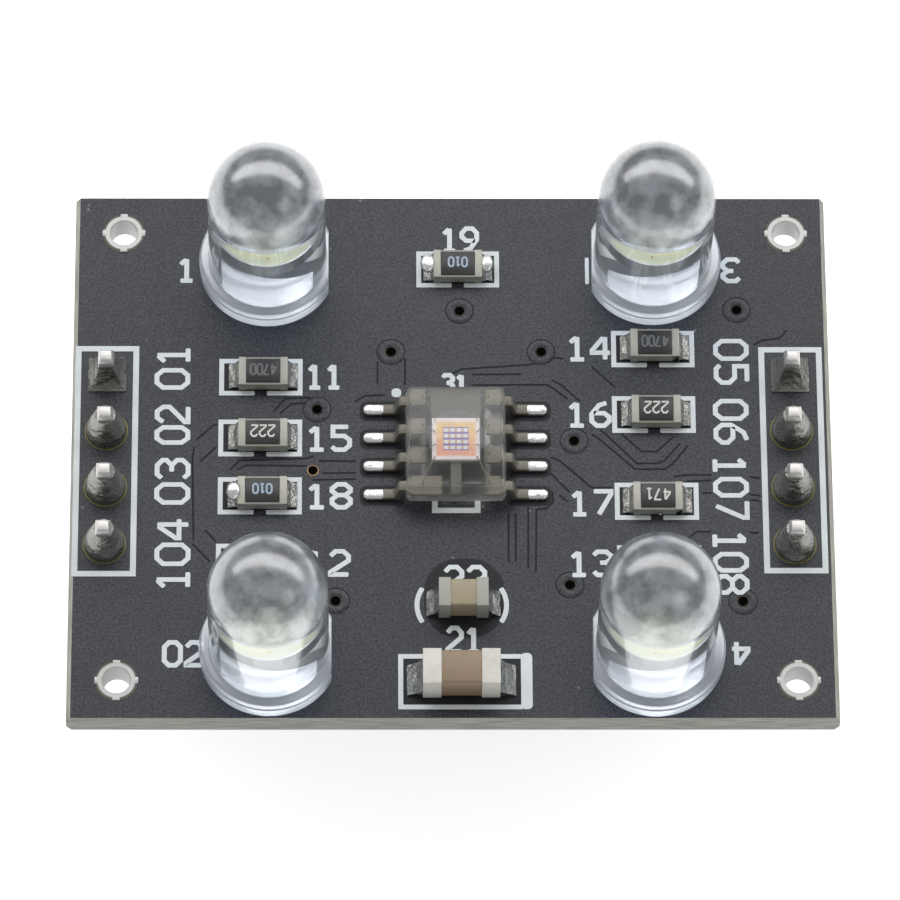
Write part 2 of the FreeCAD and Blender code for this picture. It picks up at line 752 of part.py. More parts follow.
def chip_parts():
    """All resistors and capacitors at their places."""
    reach = LAMP_Y - FLANGE_R - RESISTOR_WIDTH / 2
    left_x = LAMP_SHIFT_X - LAMP_X + LEFT_COLUMN_SHIFT
    right_x = LAMP_SHIFT_X + LAMP_X + RIGHT_COLUMN_SHIFT
    left_shares = (LEFT_BACK_SHARE, LEFT_UPPER_SHARE, LEFT_LOWER_SHARE, LEFT_FRONT_SHARE)
    right_shares = (RIGHT_BACK_SHARE, RIGHT_UPPER_SHARE, RIGHT_LOWER_SHARE, RIGHT_FRONT_SHARE)
    resistors = [Resistor(left_x, share * reach) for share in left_shares]
    resistors += [Resistor(right_x, share * reach) for share in right_shares]
    resistors.append(Resistor(BACK_CHIP_X, BOARD_WIDTH / 2 - BACK_CHIP_INSET))
    front = -BOARD_WIDTH / 2
    capacitors = [
        Capacitor(
            LARGE_CAP_X, front + LARGE_CAP_INSET, LARGE_CAP_LENGTH, LARGE_CAP_WIDTH,
            LARGE_CAP_HEIGHT, LARGE_CAP_LAND_BEYOND,
        ),
        Capacitor(
            SMALL_CAP_X, front + SMALL_CAP_INSET, SMALL_CAP_LENGTH, SMALL_CAP_WIDTH,
            SMALL_CAP_HEIGHT, SMALL_CAP_LAND_BEYOND,
        ),
    ]
    return resistors, capacitors


def build():
    """Make every piece and write it to its file."""
    os.makedirs("parts", exist_ok=True)
    save("circuit_board", circuit_board())
    save("mounting_rings", [mount_ring(place) for place in mount_places()])

    joints = []
    number = 1
    for side, row_x in header_rows().items():
        save("header_strip_" + side, header_strip(row_x))
        for place in pin_places(row_x):
            save("header_pin_" + str(number), header_pin(place))
            joints.append(header_solder(place, place == pin_places(row_x)[0]))
            number += 1
    save("header_solder", joints)

    chips = []
    wires = []
    for number, place in enumerate(lamp_places(), 1):
        pieces = Lamp(*place).pieces()
        for name in ("lens", "cathode", "anode", "phosphor"):
            save("lamp_" + name + "_" + str(number), pieces[name])
        chips.append(pieces["chip"])
        wires.append(pieces["wire"])
    save("lamp_chips", chips)
    save("lamp_bond_wires", wires)
    save("lamp_solder", [lamp_solder(place) for place in lamp_lead_places()])

    sensor = Sensor().pieces()
    save("sensor_body", sensor["body"][0])
    for number, lead in enumerate(sensor["lead"], 1):
        save("sensor_lead_" + str(number), lead)
    save("sensor_paddle", sensor["paddle"][0])
    save("sensor_die", sensor["die"][0])
    save("sensor_bond_wires", sensor["wires"])
    save("sensor_solder", sensor_solder())

    resistors, capacitors = chip_parts()
    for number, resistor in enumerate(resistors, 1):
        save("resistor_" + str(number), resistor.body())
    save("resistor_caps", [cap for part in resistors for cap in part.caps()])
    for number, capacitor in enumerate(capacitors, 1):
        save("capacitor_" + str(number), capacitor.core())
    save("capacitor_caps", [cap for part in capacitors for cap in part.caps()])
    save("chip_solder", [joint for part in resistors + capacitors for joint in part.solder()])


build()
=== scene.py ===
import json
import logging
import math
from contextlib import contextmanager
from dataclasses import dataclass, field
from enum import Enum
from typing import Callable, Iterator, Sequence

import bpy
from mathutils import Matrix, Vector


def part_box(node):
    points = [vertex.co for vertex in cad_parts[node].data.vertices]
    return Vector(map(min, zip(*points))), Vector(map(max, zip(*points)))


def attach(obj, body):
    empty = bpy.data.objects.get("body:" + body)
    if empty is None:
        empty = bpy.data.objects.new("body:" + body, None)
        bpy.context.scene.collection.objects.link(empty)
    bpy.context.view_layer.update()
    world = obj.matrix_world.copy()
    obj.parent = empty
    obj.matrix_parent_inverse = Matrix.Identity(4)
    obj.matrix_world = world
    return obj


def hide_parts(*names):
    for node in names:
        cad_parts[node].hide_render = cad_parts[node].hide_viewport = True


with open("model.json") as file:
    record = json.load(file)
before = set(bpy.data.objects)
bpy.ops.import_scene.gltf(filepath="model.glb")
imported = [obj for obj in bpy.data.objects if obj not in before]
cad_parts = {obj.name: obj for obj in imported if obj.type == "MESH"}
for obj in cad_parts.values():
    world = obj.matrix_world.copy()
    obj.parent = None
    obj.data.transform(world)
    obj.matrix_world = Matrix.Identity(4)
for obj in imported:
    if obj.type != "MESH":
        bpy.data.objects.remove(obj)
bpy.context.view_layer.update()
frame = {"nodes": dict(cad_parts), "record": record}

# A small colour sensing module: a dark circuit board with a clear sensor package, four clear
# lamps, chip parts and two header rows. Lengths are in metres, and MM turns millimetres into them.
# Angles that are named as constants are in degrees.

MM = 0.001
BODY = "root"
LOG = logging.getLogger("module")
MERGE = 0.0005 * MM
CAD_MERGE = 0.002 * MM
SAME_PLACE = 0.001 * MM
AT_FACE = 0.01 * MM
SAME_PLANE = 1.0
SHARP_EDGE = 25.0
CORNER_EDGE = 50.0
CRISP = 40.0
ROUNDED = 60.0
LUMPY = 80.0
PLATE_SEGMENTS = 6

Obj = bpy.types.Object
Socket = bpy.types.NodeSocket
Point = tuple[float, float]
Points = tuple[Point, ...]
Labels = tuple[tuple[str, Point, float], ...]
Triple = tuple[float, float, float]
Colour = Triple
Value = float | int | bool | str | tuple | Socket


# ---- Modelling tools ----


def deselect() -> None:
    """Leave object mode with nothing selected."""
    if bpy.context.object and bpy.context.object.mode != "OBJECT":
        bpy.ops.object.mode_set(mode="OBJECT")
    bpy.ops.object.select_all(action="DESELECT")


def pick(obj: Obj) -> Obj:
    """Make one object the only selected and active one.

    Args:
        obj: The object to pick.

    Returns:
        The same object.
    """
    deselect()
    obj.select_set(True)
    bpy.context.view_layer.objects.active = obj
    return obj


@contextmanager
def editing(obj: Obj, everything: bool = True) -> Iterator[None]:
    """Work on an object in edit mode.

    Args:
        obj: The object to shape.
        everything: Whether all of it starts selected.
    """
    pick(obj)
    bpy.ops.object.mode_set(mode="EDIT")
    bpy.ops.mesh.select_mode(type="VERT")
    bpy.ops.mesh.select_all(action="SELECT" if everything else "DESELECT")
    yield
    bpy.ops.object.mode_set(mode="OBJECT")


def select_where(obj: Obj, test: Callable[[Vector], bool]) -> None:
    """Select the vertices whose place passes a test, from within edit mode.

    Args:
        obj: The object being edited.
        test: Says of a place whether it is wanted.
    """
    bpy.ops.object.mode_set(mode="OBJECT")
    wanted = [bool(test(v.co)) for v in obj.data.vertices]
    obj.data.vertices.foreach_set("select", wanted)
    for edge in obj.data.edges:
        edge.select = all(wanted[i] for i in edge.vertices)
    for face in obj.data.polygons:
        face.select = all(wanted[i] for i in face.vertices)
    bpy.ops.object.mode_set(mode="EDIT")


def settle(obj: Obj) -> Obj:
    """Put an object's place and size into its mesh.

    Args:
        obj: The object, which ends up at the origin, unturned and unscaled.

    Returns:
        The same object.
    """
    pick(obj)
    bpy.ops.object.transform_apply(location=True, rotation=True, scale=True)
    return obj


def named(name: str) -> Obj:
    """Name the object that an operator has just made.

    Args:
        name: The piece's name.

    Returns:
        The object.
    """
    made = bpy.context.object
    made.name = name
    made.data.name = name
    return made


def modified(obj: Obj, kind: str, **settings: Value) -> Obj:
    """Add a modifier and apply it.

    Args:
        obj: The object to change.
        kind: The modifier's type.
        **settings: Values for the modifier.

    Returns:
        The same object.
    """
    pick(obj)
    added = obj.modifiers.new(kind.title(), kind)
    for key, value in settings.items():
        setattr(added, key, value)
    bpy.ops.object.modifier_apply(modifier=added.name)
    return obj


def bevelled(obj: Obj, width: float, segments: int, degrees: float) -> Obj:
    """Round the edges that are sharper than an angle in degrees."""
    limit = math.radians(degrees)
    return modified(obj, "BEVEL", width=width, segments=segments, limit_method="ANGLE", angle_limit=limit)


def smooth(obj: Obj, degrees: float) -> Obj:
    """Shade an object smooth, apart from its sharp edges.

    Args:
        obj: The object to shade.
        degrees: The angle past which an edge stays sharp.

    Returns:
        The same object.
    """
    pick(obj)
    bpy.ops.object.shade_smooth_by_angle(angle=math.radians(degrees))
    return obj


def outward(obj: Obj) -> Obj:
    """Merge an object's doubles and point its faces outwards.

    Args:
        obj: The object to clean.

    Returns:
        The same object.
    """
    with editing(obj):
        bpy.ops.mesh.remove_doubles(threshold=MERGE)
        bpy.ops.mesh.normals_make_consistent(inside=False)
    return obj


def joined(name: str, parts: Sequence[Obj]) -> Obj:
    """Join several meshes into one piece.

    Args:
        name: The piece's name.
        parts: The meshes, which stop being objects of their own.

    Returns:
        The joined piece.
    """
    pick(parts[0])
    for part in parts[1:]:
        part.select_set(True)
    bpy.ops.object.join()
    return named(name)


def copy_of(obj: Obj, name: str) -> Obj:
    """Copy an object with a mesh of its own.

    Args:
        obj: The object to copy.
        name: The copy's name.

    Returns:
        The copy, which has no parent.
    """
    made = obj.copy()
    made.data = obj.data.copy()
    made.name = name
    made.data.name = name
    made.parent = None
    for key in list(made.keys()):
        del made[key]
    bpy.context.scene.collection.objects.link(made)
    return made


def moved(obj: Obj, place: Vector, turn: float = 0.0) -> Obj:
    """Turn an object about the upright axis, then move it, all in its mesh.

    Args:
        obj: The object.
        place: How far it moves.
        turn: How far it turns first, in degrees.

    Returns:
        The same object.
    """
    obj.rotation_euler = (0.0, 0.0, math.radians(turn))
    obj.location = place
    return settle(obj)


def copies(model: Obj, places: Sequence[Vector]) -> list[Obj]:
    """Stand copies of a model at several places, then remove the model.

    Args:
        model: The shape at the origin, which is gone afterwards.
        places: Where the copies stand.

    Returns:
        The copies.
    """
    made = [moved(copy_of(model, model.name), place) for place in places]
    bpy.data.objects.remove(model)
    return made


def block(name: str, low: Vector, high: Vector) -> Obj:
    """A rectangular block between two corners, as a start for a piece.

    Args:
        name: The block's name.
        low: Its lowest corner.
        high: Its highest corner.

    Returns:
        The block, with its place in its mesh.
    """
    deselect()
    bpy.ops.mesh.primitive_cube_add(size=1.0, location=(low + high) / 2)
    made = named(name)
    made.scale = high - low
    return settle(made)


def spun(name: str, profile: Sequence[Point], steps: int) -> Obj:
    """A turned piece: a run of points drawn by extruding, then spun about the upright axis.

    Args:
        name: The piece's name.
        profile: Its outline as (radius, height) in millimetres, from the lowest point up.
        steps: How many steps make the full turn.

    Returns:
        The turned piece.
    """
    deselect()
    bpy.ops.mesh.primitive_plane_add(size=MM)
    made = named(name)
    with editing(made):
        bpy.ops.mesh.merge(type="CENTER")
        last = Vector((0.0, 0.0, 0.0))
        for number, (radius, height) in enumerate(profile):
            here = Vector((radius * MM, 0.0, height * MM))
            if number == 0:
                bpy.ops.transform.translate(value=here - last)
            else:
                bpy.ops.mesh.extrude_region_move(TRANSFORM_OT_translate={"value": here - last})
            last = here
        bpy.ops.mesh.select_all(action="SELECT")
        bpy.ops.mesh.spin(steps=steps, angle=2 * math.pi, center=(0, 0, 0), axis=(0, 0, 1))
    return outward(made)


def round_upright(obj: Obj, width: float, near: Callable[[Vector], bool], segments: int) -> None:
    """Round an object's upright edges.

    Args:
        obj: The object.
        width: How far the rounding reaches from each edge.
        near: Says of an edge's lower end whether that edge is rounded.
        segments: How many steps round each edge.
    """
    with editing(obj, everything=False):
        bpy.ops.mesh.select_mode(type="EDGE")
        bpy.ops.object.mode_set(mode="OBJECT")
        points = [v.co for v in obj.data.vertices]
        for edge in obj.data.edges:
            a, b = (points[i] for i in edge.vertices)
            upright = (a.xy - b.xy).length < SAME_PLACE
            edge.select = upright and near(min(a, b, key=lambda co: co.z))
        bpy.ops.object.mode_set(mode="EDIT")
        bpy.ops.mesh.bevel(offset=width, segments=segments, affect="EDGES", clamp_overlap=True)


def plate(name: str, low: Point, high: Point, radius: float, level: float, thickness: float) -> Obj:
    """A thin level plate with rounded corners.

    Args:
        name: The plate's name.
        low: Its front left corner, in millimetres.
        high: Its back right corner, in millimetres.
        radius: The radius of its corners, in millimetres.
        level: The height of its underside.
        thickness: How thick it is, in millimetres.

    Returns:
        The plate.
    """
    bottom = Vector((low[0] * MM, low[1] * MM, level))
    top = Vector((high[0] * MM, high[1] * MM, level + thickness * MM))
    made = block(name, bottom, top)
    round_upright(made, radius * MM, lambda co: True, PLATE_SEGMENTS)
    return made


def softened(node: str, width: float, segments: int) -> Obj:
    """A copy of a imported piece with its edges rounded, to stand for it.

    Args:
        node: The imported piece's node.
        width: How far the rounding reaches from each edge, in millimetres.
        segments: How many steps round each edge.

    Returns:
        The rounded copy.
    """
    made = copy_of(frame["nodes"][node], node + "_rounded")
    with editing(made):
        bpy.ops.mesh.remove_doubles(threshold=CAD_MERGE)
        bpy.ops.mesh.dissolve_limited(angle_limit=math.radians(SAME_PLANE))
    bevelled(made, width * MM, segments, SHARP_EDGE)
    return smooth(made, CORNER_EDGE)


def arc(centre: Point, radius: float, start: float, end: float, steps: int) -> list[Point]:
    """Points along a round stretch.

    Args:
        centre: The middle of the round.
        radius: Its radius.
        start: Where it starts, in degrees.
        end: Where it ends, in degrees.
        steps: How many steps it takes.

    Returns:
        The points, both ends among them.
    """
    angles = [math.radians(start + (end - start) * i / steps) for i in range(steps + 1)]
    return [(centre[0] + radius * math.cos(a), centre[1] + radius * math.sin(a)) for a in angles]


# ---- Shader tools ----


class Tree:
    """A node tree with short calls that add nodes and join them."""

    def __init__(self, tree: bpy.types.NodeTree) -> None:
        """Start with an empty tree."""
        self.tree = tree
        tree.nodes.clear()

    def add(self, kind: str, inputs: dict[str | int, Value] | None = None, **settings: Value) -> bpy.types.Node:
        """Add a node.

        Args:
            kind: The node's type.
            inputs: Values or sockets for its inputs, by name or number.
            **settings: The node's own settings.

        Returns:
            The node.
        """
        node = self.tree.nodes.new(kind)
        for key, value in settings.items():
            setattr(node, key, value)
        for key, value in (inputs or {}).items():
            if isinstance(value, Socket):
                self.tree.links.new(value, node.inputs[key])
            else:
                node.inputs[key].default_value = value
        return node

    def math(self, operation: str, a: Value, b: Value = 0.0) -> Socket:
        """Work out one number from two."""
        return self.add("ShaderNodeMath", {0: a, 1: b}, operation=operation).outputs[0]

    def mix(self, share: Value, low: Value, high: Value) -> Socket:
        """Mix two colours by a share."""
        node = self.add("ShaderNodeMix", {0: share, 6: low, 7: high}, data_type="RGBA")
        return node.outputs[2]

    def ramp(
        self, value: Value, low: float, high: float, to_low: float = 0.0, to_high: float = 1.0,
    ) -> Socket:
        """Map a range of one number onto another range, without passing its ends."""
        limits = {0: value, 1: low, 2: high, 3: to_low, 4: to_high}
        return self.add("ShaderNodeMapRange", limits).outputs[0]

    def place(self) -> Socket:
        """The place on the piece, in the object's own coordinates."""
        return self.add("ShaderNodeTexCoord").outputs["Object"]

    def axis(self, number: int) -> Socket:
        """The place on the piece along X (0), Y (1) or Z (2)."""
        return self.add("ShaderNodeSeparateXYZ", {0: self.place()}).outputs[number]

    def noise(self, scale: float, detail: float = 2.0, stretch: Triple = (1, 1, 1)) -> Socket:
        """Soft random values over the surface.

        Args:
            scale: How many patches there are along a millimetre.
            detail: How much finer structure they have.
            stretch: How much faster they change along each axis.

        Returns:
            The value, mostly between 0.3 and 0.7.
        """
        place = self.add("ShaderNodeMapping", {"Vector": self.place(), "Scale": stretch})
        inputs = {"Vector": place.outputs[0], "Scale": scale / MM, "Detail": detail}
        return self.add("ShaderNodeTexNoise", inputs).outputs[0]


class Effect(Enum):
    """The shader groups that several finishes share."""

    GRAIN = "surface_grain"
    SPECKS = "dust_specks"


def group_tree(which: Effect, ins: dict[str, float], outs: dict[str, str]) -> Tree:
    """Start a shader group with named sockets.

    Args:
        which: The group it is.
        ins: Its inputs and their usual values.
        outs: Its outputs and their socket types.

    Returns:
        The group's tree, which holds an input and an output node.
    """
    group = bpy.data.node_groups.new(which.value, "ShaderNodeTree")
    for name, value in ins.items():
        socket = group.interface.new_socket(name, in_out="INPUT", socket_type="NodeSocketFloat")
        socket.default_value = value
    for name, kind in outs.items():
        group.interface.new_socket(name, in_out="OUTPUT", socket_type=kind)
    return Tree(group)


BROAD_GRAIN = 0.13
MOTTLE_RANGE = (0.6, 1.4)
SPECK_SIZE = (0.05, 0.13)


def grain_group() -> None:
    """Fine unevenness: a rough value, a mottling value and a bumpy normal."""
    ins = {"Scale": 4000.0, "Height": 0.00001, "Roughness": 0.4, "Spread": 0.1}
    outs = {"Roughness": "NodeSocketFloat", "Mottle": "NodeSocketFloat", "Normal": "NodeSocketVector"}
    tree = group_tree(Effect.GRAIN, ins, outs)
    given = tree.add("NodeGroupInput")
    fine = tree.add(
        "ShaderNodeTexNoise",
        {"Vector": tree.place(), "Scale": given.outputs["Scale"], "Detail": 4.0, "Roughness": 0.6},
    )
    broad_scale = tree.math("MULTIPLY", given.outputs["Scale"], BROAD_GRAIN)
    broad = tree.add("ShaderNodeTexNoise", {"Vector": tree.place(), "Scale": broad_scale, "Detail": 2.0})
    both = tree.math("ADD", fine.outputs[0], broad.outputs[0])
    centred = tree.math("SUBTRACT", both, 1.0)
    rough = tree.math("MULTIPLY", centred, given.outputs["Spread"])
    rough = tree.math("ADD", rough, given.outputs["Roughness"])
    bump = tree.add(
        "ShaderNodeBump",
        {"Height": fine.outputs[0], "Distance": given.outputs["Height"], "Strength": 1.0},
    )
    ends = {"Roughness": rough, "Mottle": tree.ramp(both, *MOTTLE_RANGE), "Normal": bump.outputs[0]}
    tree.add("NodeGroupOutput", ends)


def specks_group() -> None:
    """Sparse pale specks of dust and lint."""
    ins = {"Scale": 900.0, "Amount": 0.12}
    tree = group_tree(Effect.SPECKS, ins, {"Mask": "NodeSocketFloat"})
    given = tree.add("NodeGroupInput")
    cells = tree.add(
        "ShaderNodeTexVoronoi", {"Vector": tree.place(), "Scale": given.outputs["Scale"]}, feature="F1",
    )
    near = tree.ramp(cells.outputs["Distance"], *SPECK_SIZE, 1.0, 0.0)
    chance = tree.add("ShaderNodeSeparateColor", {0: cells.outputs["Color"]}).outputs[0]
    chosen = tree.math("LESS_THAN", chance, given.outputs["Amount"])
    tree.add("NodeGroupOutput", {"Mask": tree.math("MULTIPLY", near, chosen)})


def effect(tree: Tree, which: Effect, **values: float) -> bpy.types.Node:
    """Place a shared effect in a material.

    Args:
        tree: The material's tree.
        which: The effect.
        **values: Its inputs, by name.

    Returns:
        The group node.
    """
    node = tree.add("ShaderNodeGroup", node_tree=bpy.data.node_groups[which.value])
    for key, value in values.items():
        node.inputs[key].default_value = value
    return node


# ---- Finishes ----


@dataclass(frozen=True)
class Finish:
    """A finish: its material's name, its colour and how rough it is."""

    name: str
    colour: Colour
    roughness: float = 0.4

    def rgba(self, factor: float = 1.0) -> tuple[float, float, float, float]:
        """The colour with full alpha, made lighter or darker by a factor."""
        r, g, b = (min(1.0, c * factor) for c in self.colour)
        return (r, g, b, 1.0)

    def surface(self, tree: Tree) -> Socket:
        """Build the shader nodes and return the shader's socket."""
        raise NotImplementedError

    def material(self) -> bpy.types.Material:
        """The finish as a material, made on first use."""
        full_name = self.name + "_finish"
        made = bpy.data.materials.get(full_name)
        if made is None:
            made = bpy.data.materials.new(full_name)
            made.use_nodes = True
            tree = Tree(made.node_tree)
            tree.add("ShaderNodeOutputMaterial", {"Surface": self.surface(tree)})
        return made


@dataclass(frozen=True)
class Grained(Finish):
    """A plain solid finish with grain and mottling."""

    metallic: float = 0.0
    grain: float = 6.0
    height: float = 0.004
    spread: float = 0.15
    mottling: float = 0.12
    shine: float = 0.5

    def colour_socket(self, tree: Tree, grain: bpy.types.Node) -> Socket:
        """The colour, mottled."""
        return tree.mix(grain.outputs["Mottle"], self.rgba(1.0 - self.mottling), self.rgba(1.0 + self.mottling))

    def surface(self, tree: Tree) -> Socket:
        """Build the shader nodes and return the shader's socket."""
        grain = effect(
            tree, Effect.GRAIN, Scale=self.grain / MM, Height=self.height * MM,
            Roughness=self.roughness, Spread=self.spread,
        )
        inputs = {
            "Base Color": self.colour_socket(tree, grain),
            "Metallic": self.metallic,
            "Roughness": grain.outputs["Roughness"],
            "Normal": grain.outputs["Normal"],
            "Specular IOR Level": self.shine,
        }
        return tree.add("ShaderNodeBsdfPrincipled", inputs).outputs[0]


@dataclass(frozen=True)
class SolderMask(Grained):
    """The board: dark mask on its faces and bare glass fibre laminate at its edges."""

    top: float = 0.0
    bottom: float = 0.0
    laminate: Colour = (0.36, 0.36, 0.31)
    fibre_shade: Colour = (0.5, 0.49, 0.45)
    fibre_scale: float = 0.7
    fibre_stretch: Triple = (1.0, 1.0, 14.0)
    broad_scale: float = 0.09
    fine_scale: float = 11.0
    dust_colour: Colour = (0.4, 0.4, 0.42)
    dust_share: float = 0.35
    dust_amount: float = 0.06
    dust_scale: float = 1.6
    skin: float = 0.006 * MM

    def colour_socket(self, tree: Tree, grain: bpy.types.Node) -> Socket:
        """Mask colour on the faces, laminate colour with fibre layers elsewhere."""
        broad = tree.ramp(tree.noise(self.broad_scale, 3.0), 0.35, 0.65)
        mask = tree.mix(broad, self.rgba(0.7), self.rgba(1.25))
        fine = tree.ramp(tree.noise(self.fine_scale, 4.0), 0.4, 0.6)
        mask = tree.mix(fine, tree.mix(0.5, mask, self.rgba(0.0)), tree.mix(0.5, mask, self.rgba(3.0)))
        specks = effect(tree, Effect.SPECKS, Amount=self.dust_amount, Scale=self.dust_scale / MM)
        mask = tree.mix(tree.math("MULTIPLY", specks.outputs[0], self.dust_share), mask, (*self.dust_colour, 1.0))
        layers = tree.ramp(tree.noise(self.fibre_scale, 3.0, self.fibre_stretch), 0.35, 0.65)
        shaded = (a * b for a, b in zip(self.laminate, self.fibre_shade))
        bare = tree.mix(layers, (*shaded, 1.0), (*self.laminate, 1.0))
        height = tree.axis(2)
        on_top = tree.math("GREATER_THAN", height, self.top - self.skin)
        under = tree.math("LESS_THAN", height, self.bottom + self.skin)
        return tree.mix(tree.math("ADD", on_top, under), bare, mask)


@dataclass(frozen=True)
class ClearEpoxy(Finish):
    """Clear cast epoxy that lets light straight through to what is inside.

    A lens also has a coat, a cloudy and mottled part above a level, and a hazy band at its base.
    """

    milk: float = 0.0
    passed: float = 0.85
    coat: float = 0.0
    coat_roughness: float = 0.2
    coat_ior: float = 2.3
    ior: float = 1.5
    base_level: float = 0.0
    base_band: Point = (0.9, 1.1)
    base_haze: float = 0.0
    cloud_level: float = 0.0
    cloud_fade: float = 0.5
    cloud_scale: float = 1.1
    cloud_stretch: Triple = (1.0, 1.0, 0.8)
    cloud_least: float = 0.85
    cloud: float = 0.0
    cloud_height: float = 0.0
    darkest: float = 0.2

    def surface(self, tree: Tree) -> Socket:
        """Build the shader nodes and return the shader's socket."""
        inputs = {
            "Base Color": self.rgba(),
            "Roughness": self.roughness,
            "IOR": self.ior,
            "Transmission Weight": 1.0 - self.milk,
            "Coat Weight": self.coat,
            "Coat Roughness": self.coat_roughness,
            "Coat IOR": self.coat_ior,
        }
        if self.cloud:
            height = tree.axis(2)
            inside = tree.ramp(height, self.cloud_level, self.cloud_level + self.cloud_fade * MM)
            patches = tree.ramp(tree.noise(self.cloud_scale, 4.0, self.cloud_stretch), 0.4, 0.62)
            depth = tree.math("MULTIPLY", inside, tree.ramp(patches, 0.0, 1.0, self.cloud_least))
            low, high = (self.base_level + end * MM for end in self.base_band)
            base = tree.ramp(height, low, high, self.base_haze, 0.0)
            haze = tree.math("ADD", tree.math("MULTIPLY", depth, self.cloud), base)
            inputs["Roughness"] = tree.math("ADD", haze, self.roughness)
            tint = tree.mix(patches, self.rgba(self.darkest), self.rgba())
            inputs["Base Color"] = tree.mix(inside, self.rgba(), tint)
            waves = tree.math("MULTIPLY", patches, inside)
            bump = {"Height": waves, "Distance": self.cloud_height * MM, "Strength": 1.0}
            inputs["Normal"] = tree.add("ShaderNodeBump", bump).outputs[0]
        glass = tree.add("ShaderNodeBsdfPrincipled", inputs)
        clear = tree.add("ShaderNodeBsdfTransparent", {"Color": self.rgba()})
        path = tree.add("ShaderNodeLightPath")
        unseen = tree.math("MAXIMUM", path.outputs["Is Shadow Ray"], path.outputs["Is Diffuse Ray"])
        share = tree.math("MULTIPLY", unseen, self.passed)
        return tree.add("ShaderNodeMixShader", {0: share, 1: glass.outputs[0], 2: clear.outputs[0]}).outputs[0]


@dataclass(frozen=True)
class Film(Finish):
    """A thin pale film that what lies under it shows through."""

    cover: float = 0.1
    cover_scale: float = 1.5
    cover_range: Point = (0.6, 1.4)

    def surface(self, tree: Tree) -> Socket:
        """Build the shader nodes and return the shader's socket."""
        least, most = (self.cover * end for end in self.cover_range)
        cover = tree.ramp(tree.noise(self.cover_scale), 0.3, 0.7, least, most)
        inputs = {"Base Color": self.rgba(), "Roughness": self.roughness, "Alpha": cover}
        return tree.add("ShaderNodeBsdfPrincipled", inputs).outputs[0]


@dataclass(frozen=True)
class TwoTone(Grained):
    """A grained finish with a second colour on the pieces behind a line across the module."""

    behind: Colour = (0.5, 0.5, 0.5)
    border: float = 0.0

    def colour_socket(self, tree: Tree, grain: bpy.types.Node) -> Socket:
        """One colour in front of the line and the other behind it."""
        front = super().colour_socket(tree, grain)
        back = tree.math("GREATER_THAN", tree.axis(1), self.border)
        return tree.mix(back, front, (*self.behind, 1.0))


@dataclass(frozen=True)
class GlazedChip(Grained):
    """A chip resistor: black glaze on top of pale ceramic."""

    glaze_base: float = 0.0
    ceramic: Colour = (0.3, 0.29, 0.25)

    def colour_socket(self, tree: Tree, grain: bpy.types.Node) -> Socket:
        """Glaze colour above a level, ceramic colour below it."""
        glaze = tree.mix(grain.outputs["Mottle"], self.rgba(0.8), self.rgba(1.3))
        above = tree.math("GREATER_THAN", tree.axis(2), self.glaze_base)
        return tree.mix(above, (*self.ceramic, 1.0), glaze)


@dataclass(frozen=True)
class SensorChip(Finish):
    """The silicon chip: a pale rim, a warm field and a square grid of photodiodes."""

    centre: Point = (0.0, 0.0)
    half: Point = (1.0, 1.0)
    grid_half: float = 0.5
    cells: int = 4
    warm: Colour = (1.0, 0.68, 0.22)
    rosy: Colour = (1.0, 0.45, 0.26)
    cell: Colour = (0.96, 0.95, 1.0)
    row_gap: Colour = (0.25, 0.17, 0.55)
    column_gap: Colour = (0.75, 0.5, 0.3)
    cell_half: float = 0.31
    rim_band: Point = (0.13, 0.2)
    wave_scale: float = 2.2
    wave_height: float = 0.8
    fade: float = 0.9
    spot_colour: Colour = (0.9, 0.8, 0.8)
    spot_scale: float = 9.0
    spot_share: float = 0.5

    def surface(self, tree: Tree) -> Socket:
        """Build the shader nodes and return the shader's socket."""
        offset = (-self.centre[0], -self.centre[1], 0.0)
        place = tree.add("ShaderNodeMapping", {"Vector": tree.place(), "Location": offset})
        x, y, _ = tree.add("ShaderNodeSeparateXYZ", {0: place.outputs[0]}).outputs
        across, along = (tree.math("ABSOLUTE", v) for v in (x, y))
        to_edges = (tree.math("SUBTRACT", half, v) for half, v in zip(self.half, (across, along)))
        depth = tree.math("MINIMUM", *to_edges)
        waves = tree.math("MULTIPLY", tree.noise(self.wave_scale), self.wave_height * MM)
        share = tree.ramp(tree.math("ADD", y, waves), 0.0, self.fade * MM)
        colour = tree.mix(share, (*self.rosy, 1.0), (*self.warm, 1.0))
        spots = tree.ramp(tree.noise(self.spot_scale, 1.0), 0.58, 0.62)
        colour = tree.mix(tree.math("MULTIPLY", spots, self.spot_share), colour, (*self.spot_colour, 1.0))
        rim_start, rim_end = self.rim_band
        colour = tree.mix(tree.ramp(depth, rim_start * MM, rim_end * MM, 1.0, 0.0), colour, self.rgba())
        inside = tree.math("LESS_THAN", tree.math("MAXIMUM", across, along), self.grid_half)
        pitch = 2 * self.grid_half / self.cells
        steps = [tree.math("FRACT", tree.math("DIVIDE", v, pitch)) for v in (x, y)]
        off = [tree.math("ABSOLUTE", tree.math("SUBTRACT", step, 0.5)) for step in steps]
        grid = tree.mix(tree.math("LESS_THAN", off[0], self.cell_half), (*self.column_gap, 1.0), (*self.cell, 1.0))
        grid = tree.mix(tree.math("LESS_THAN", off[1], self.cell_half), (*self.row_gap, 1.0), grid)
        colour = tree.mix(inside, colour, grid)
        return tree.add("ShaderNodeBsdfPrincipled", {"Base Color": colour, "Roughness": self.roughness}).outputs[0]


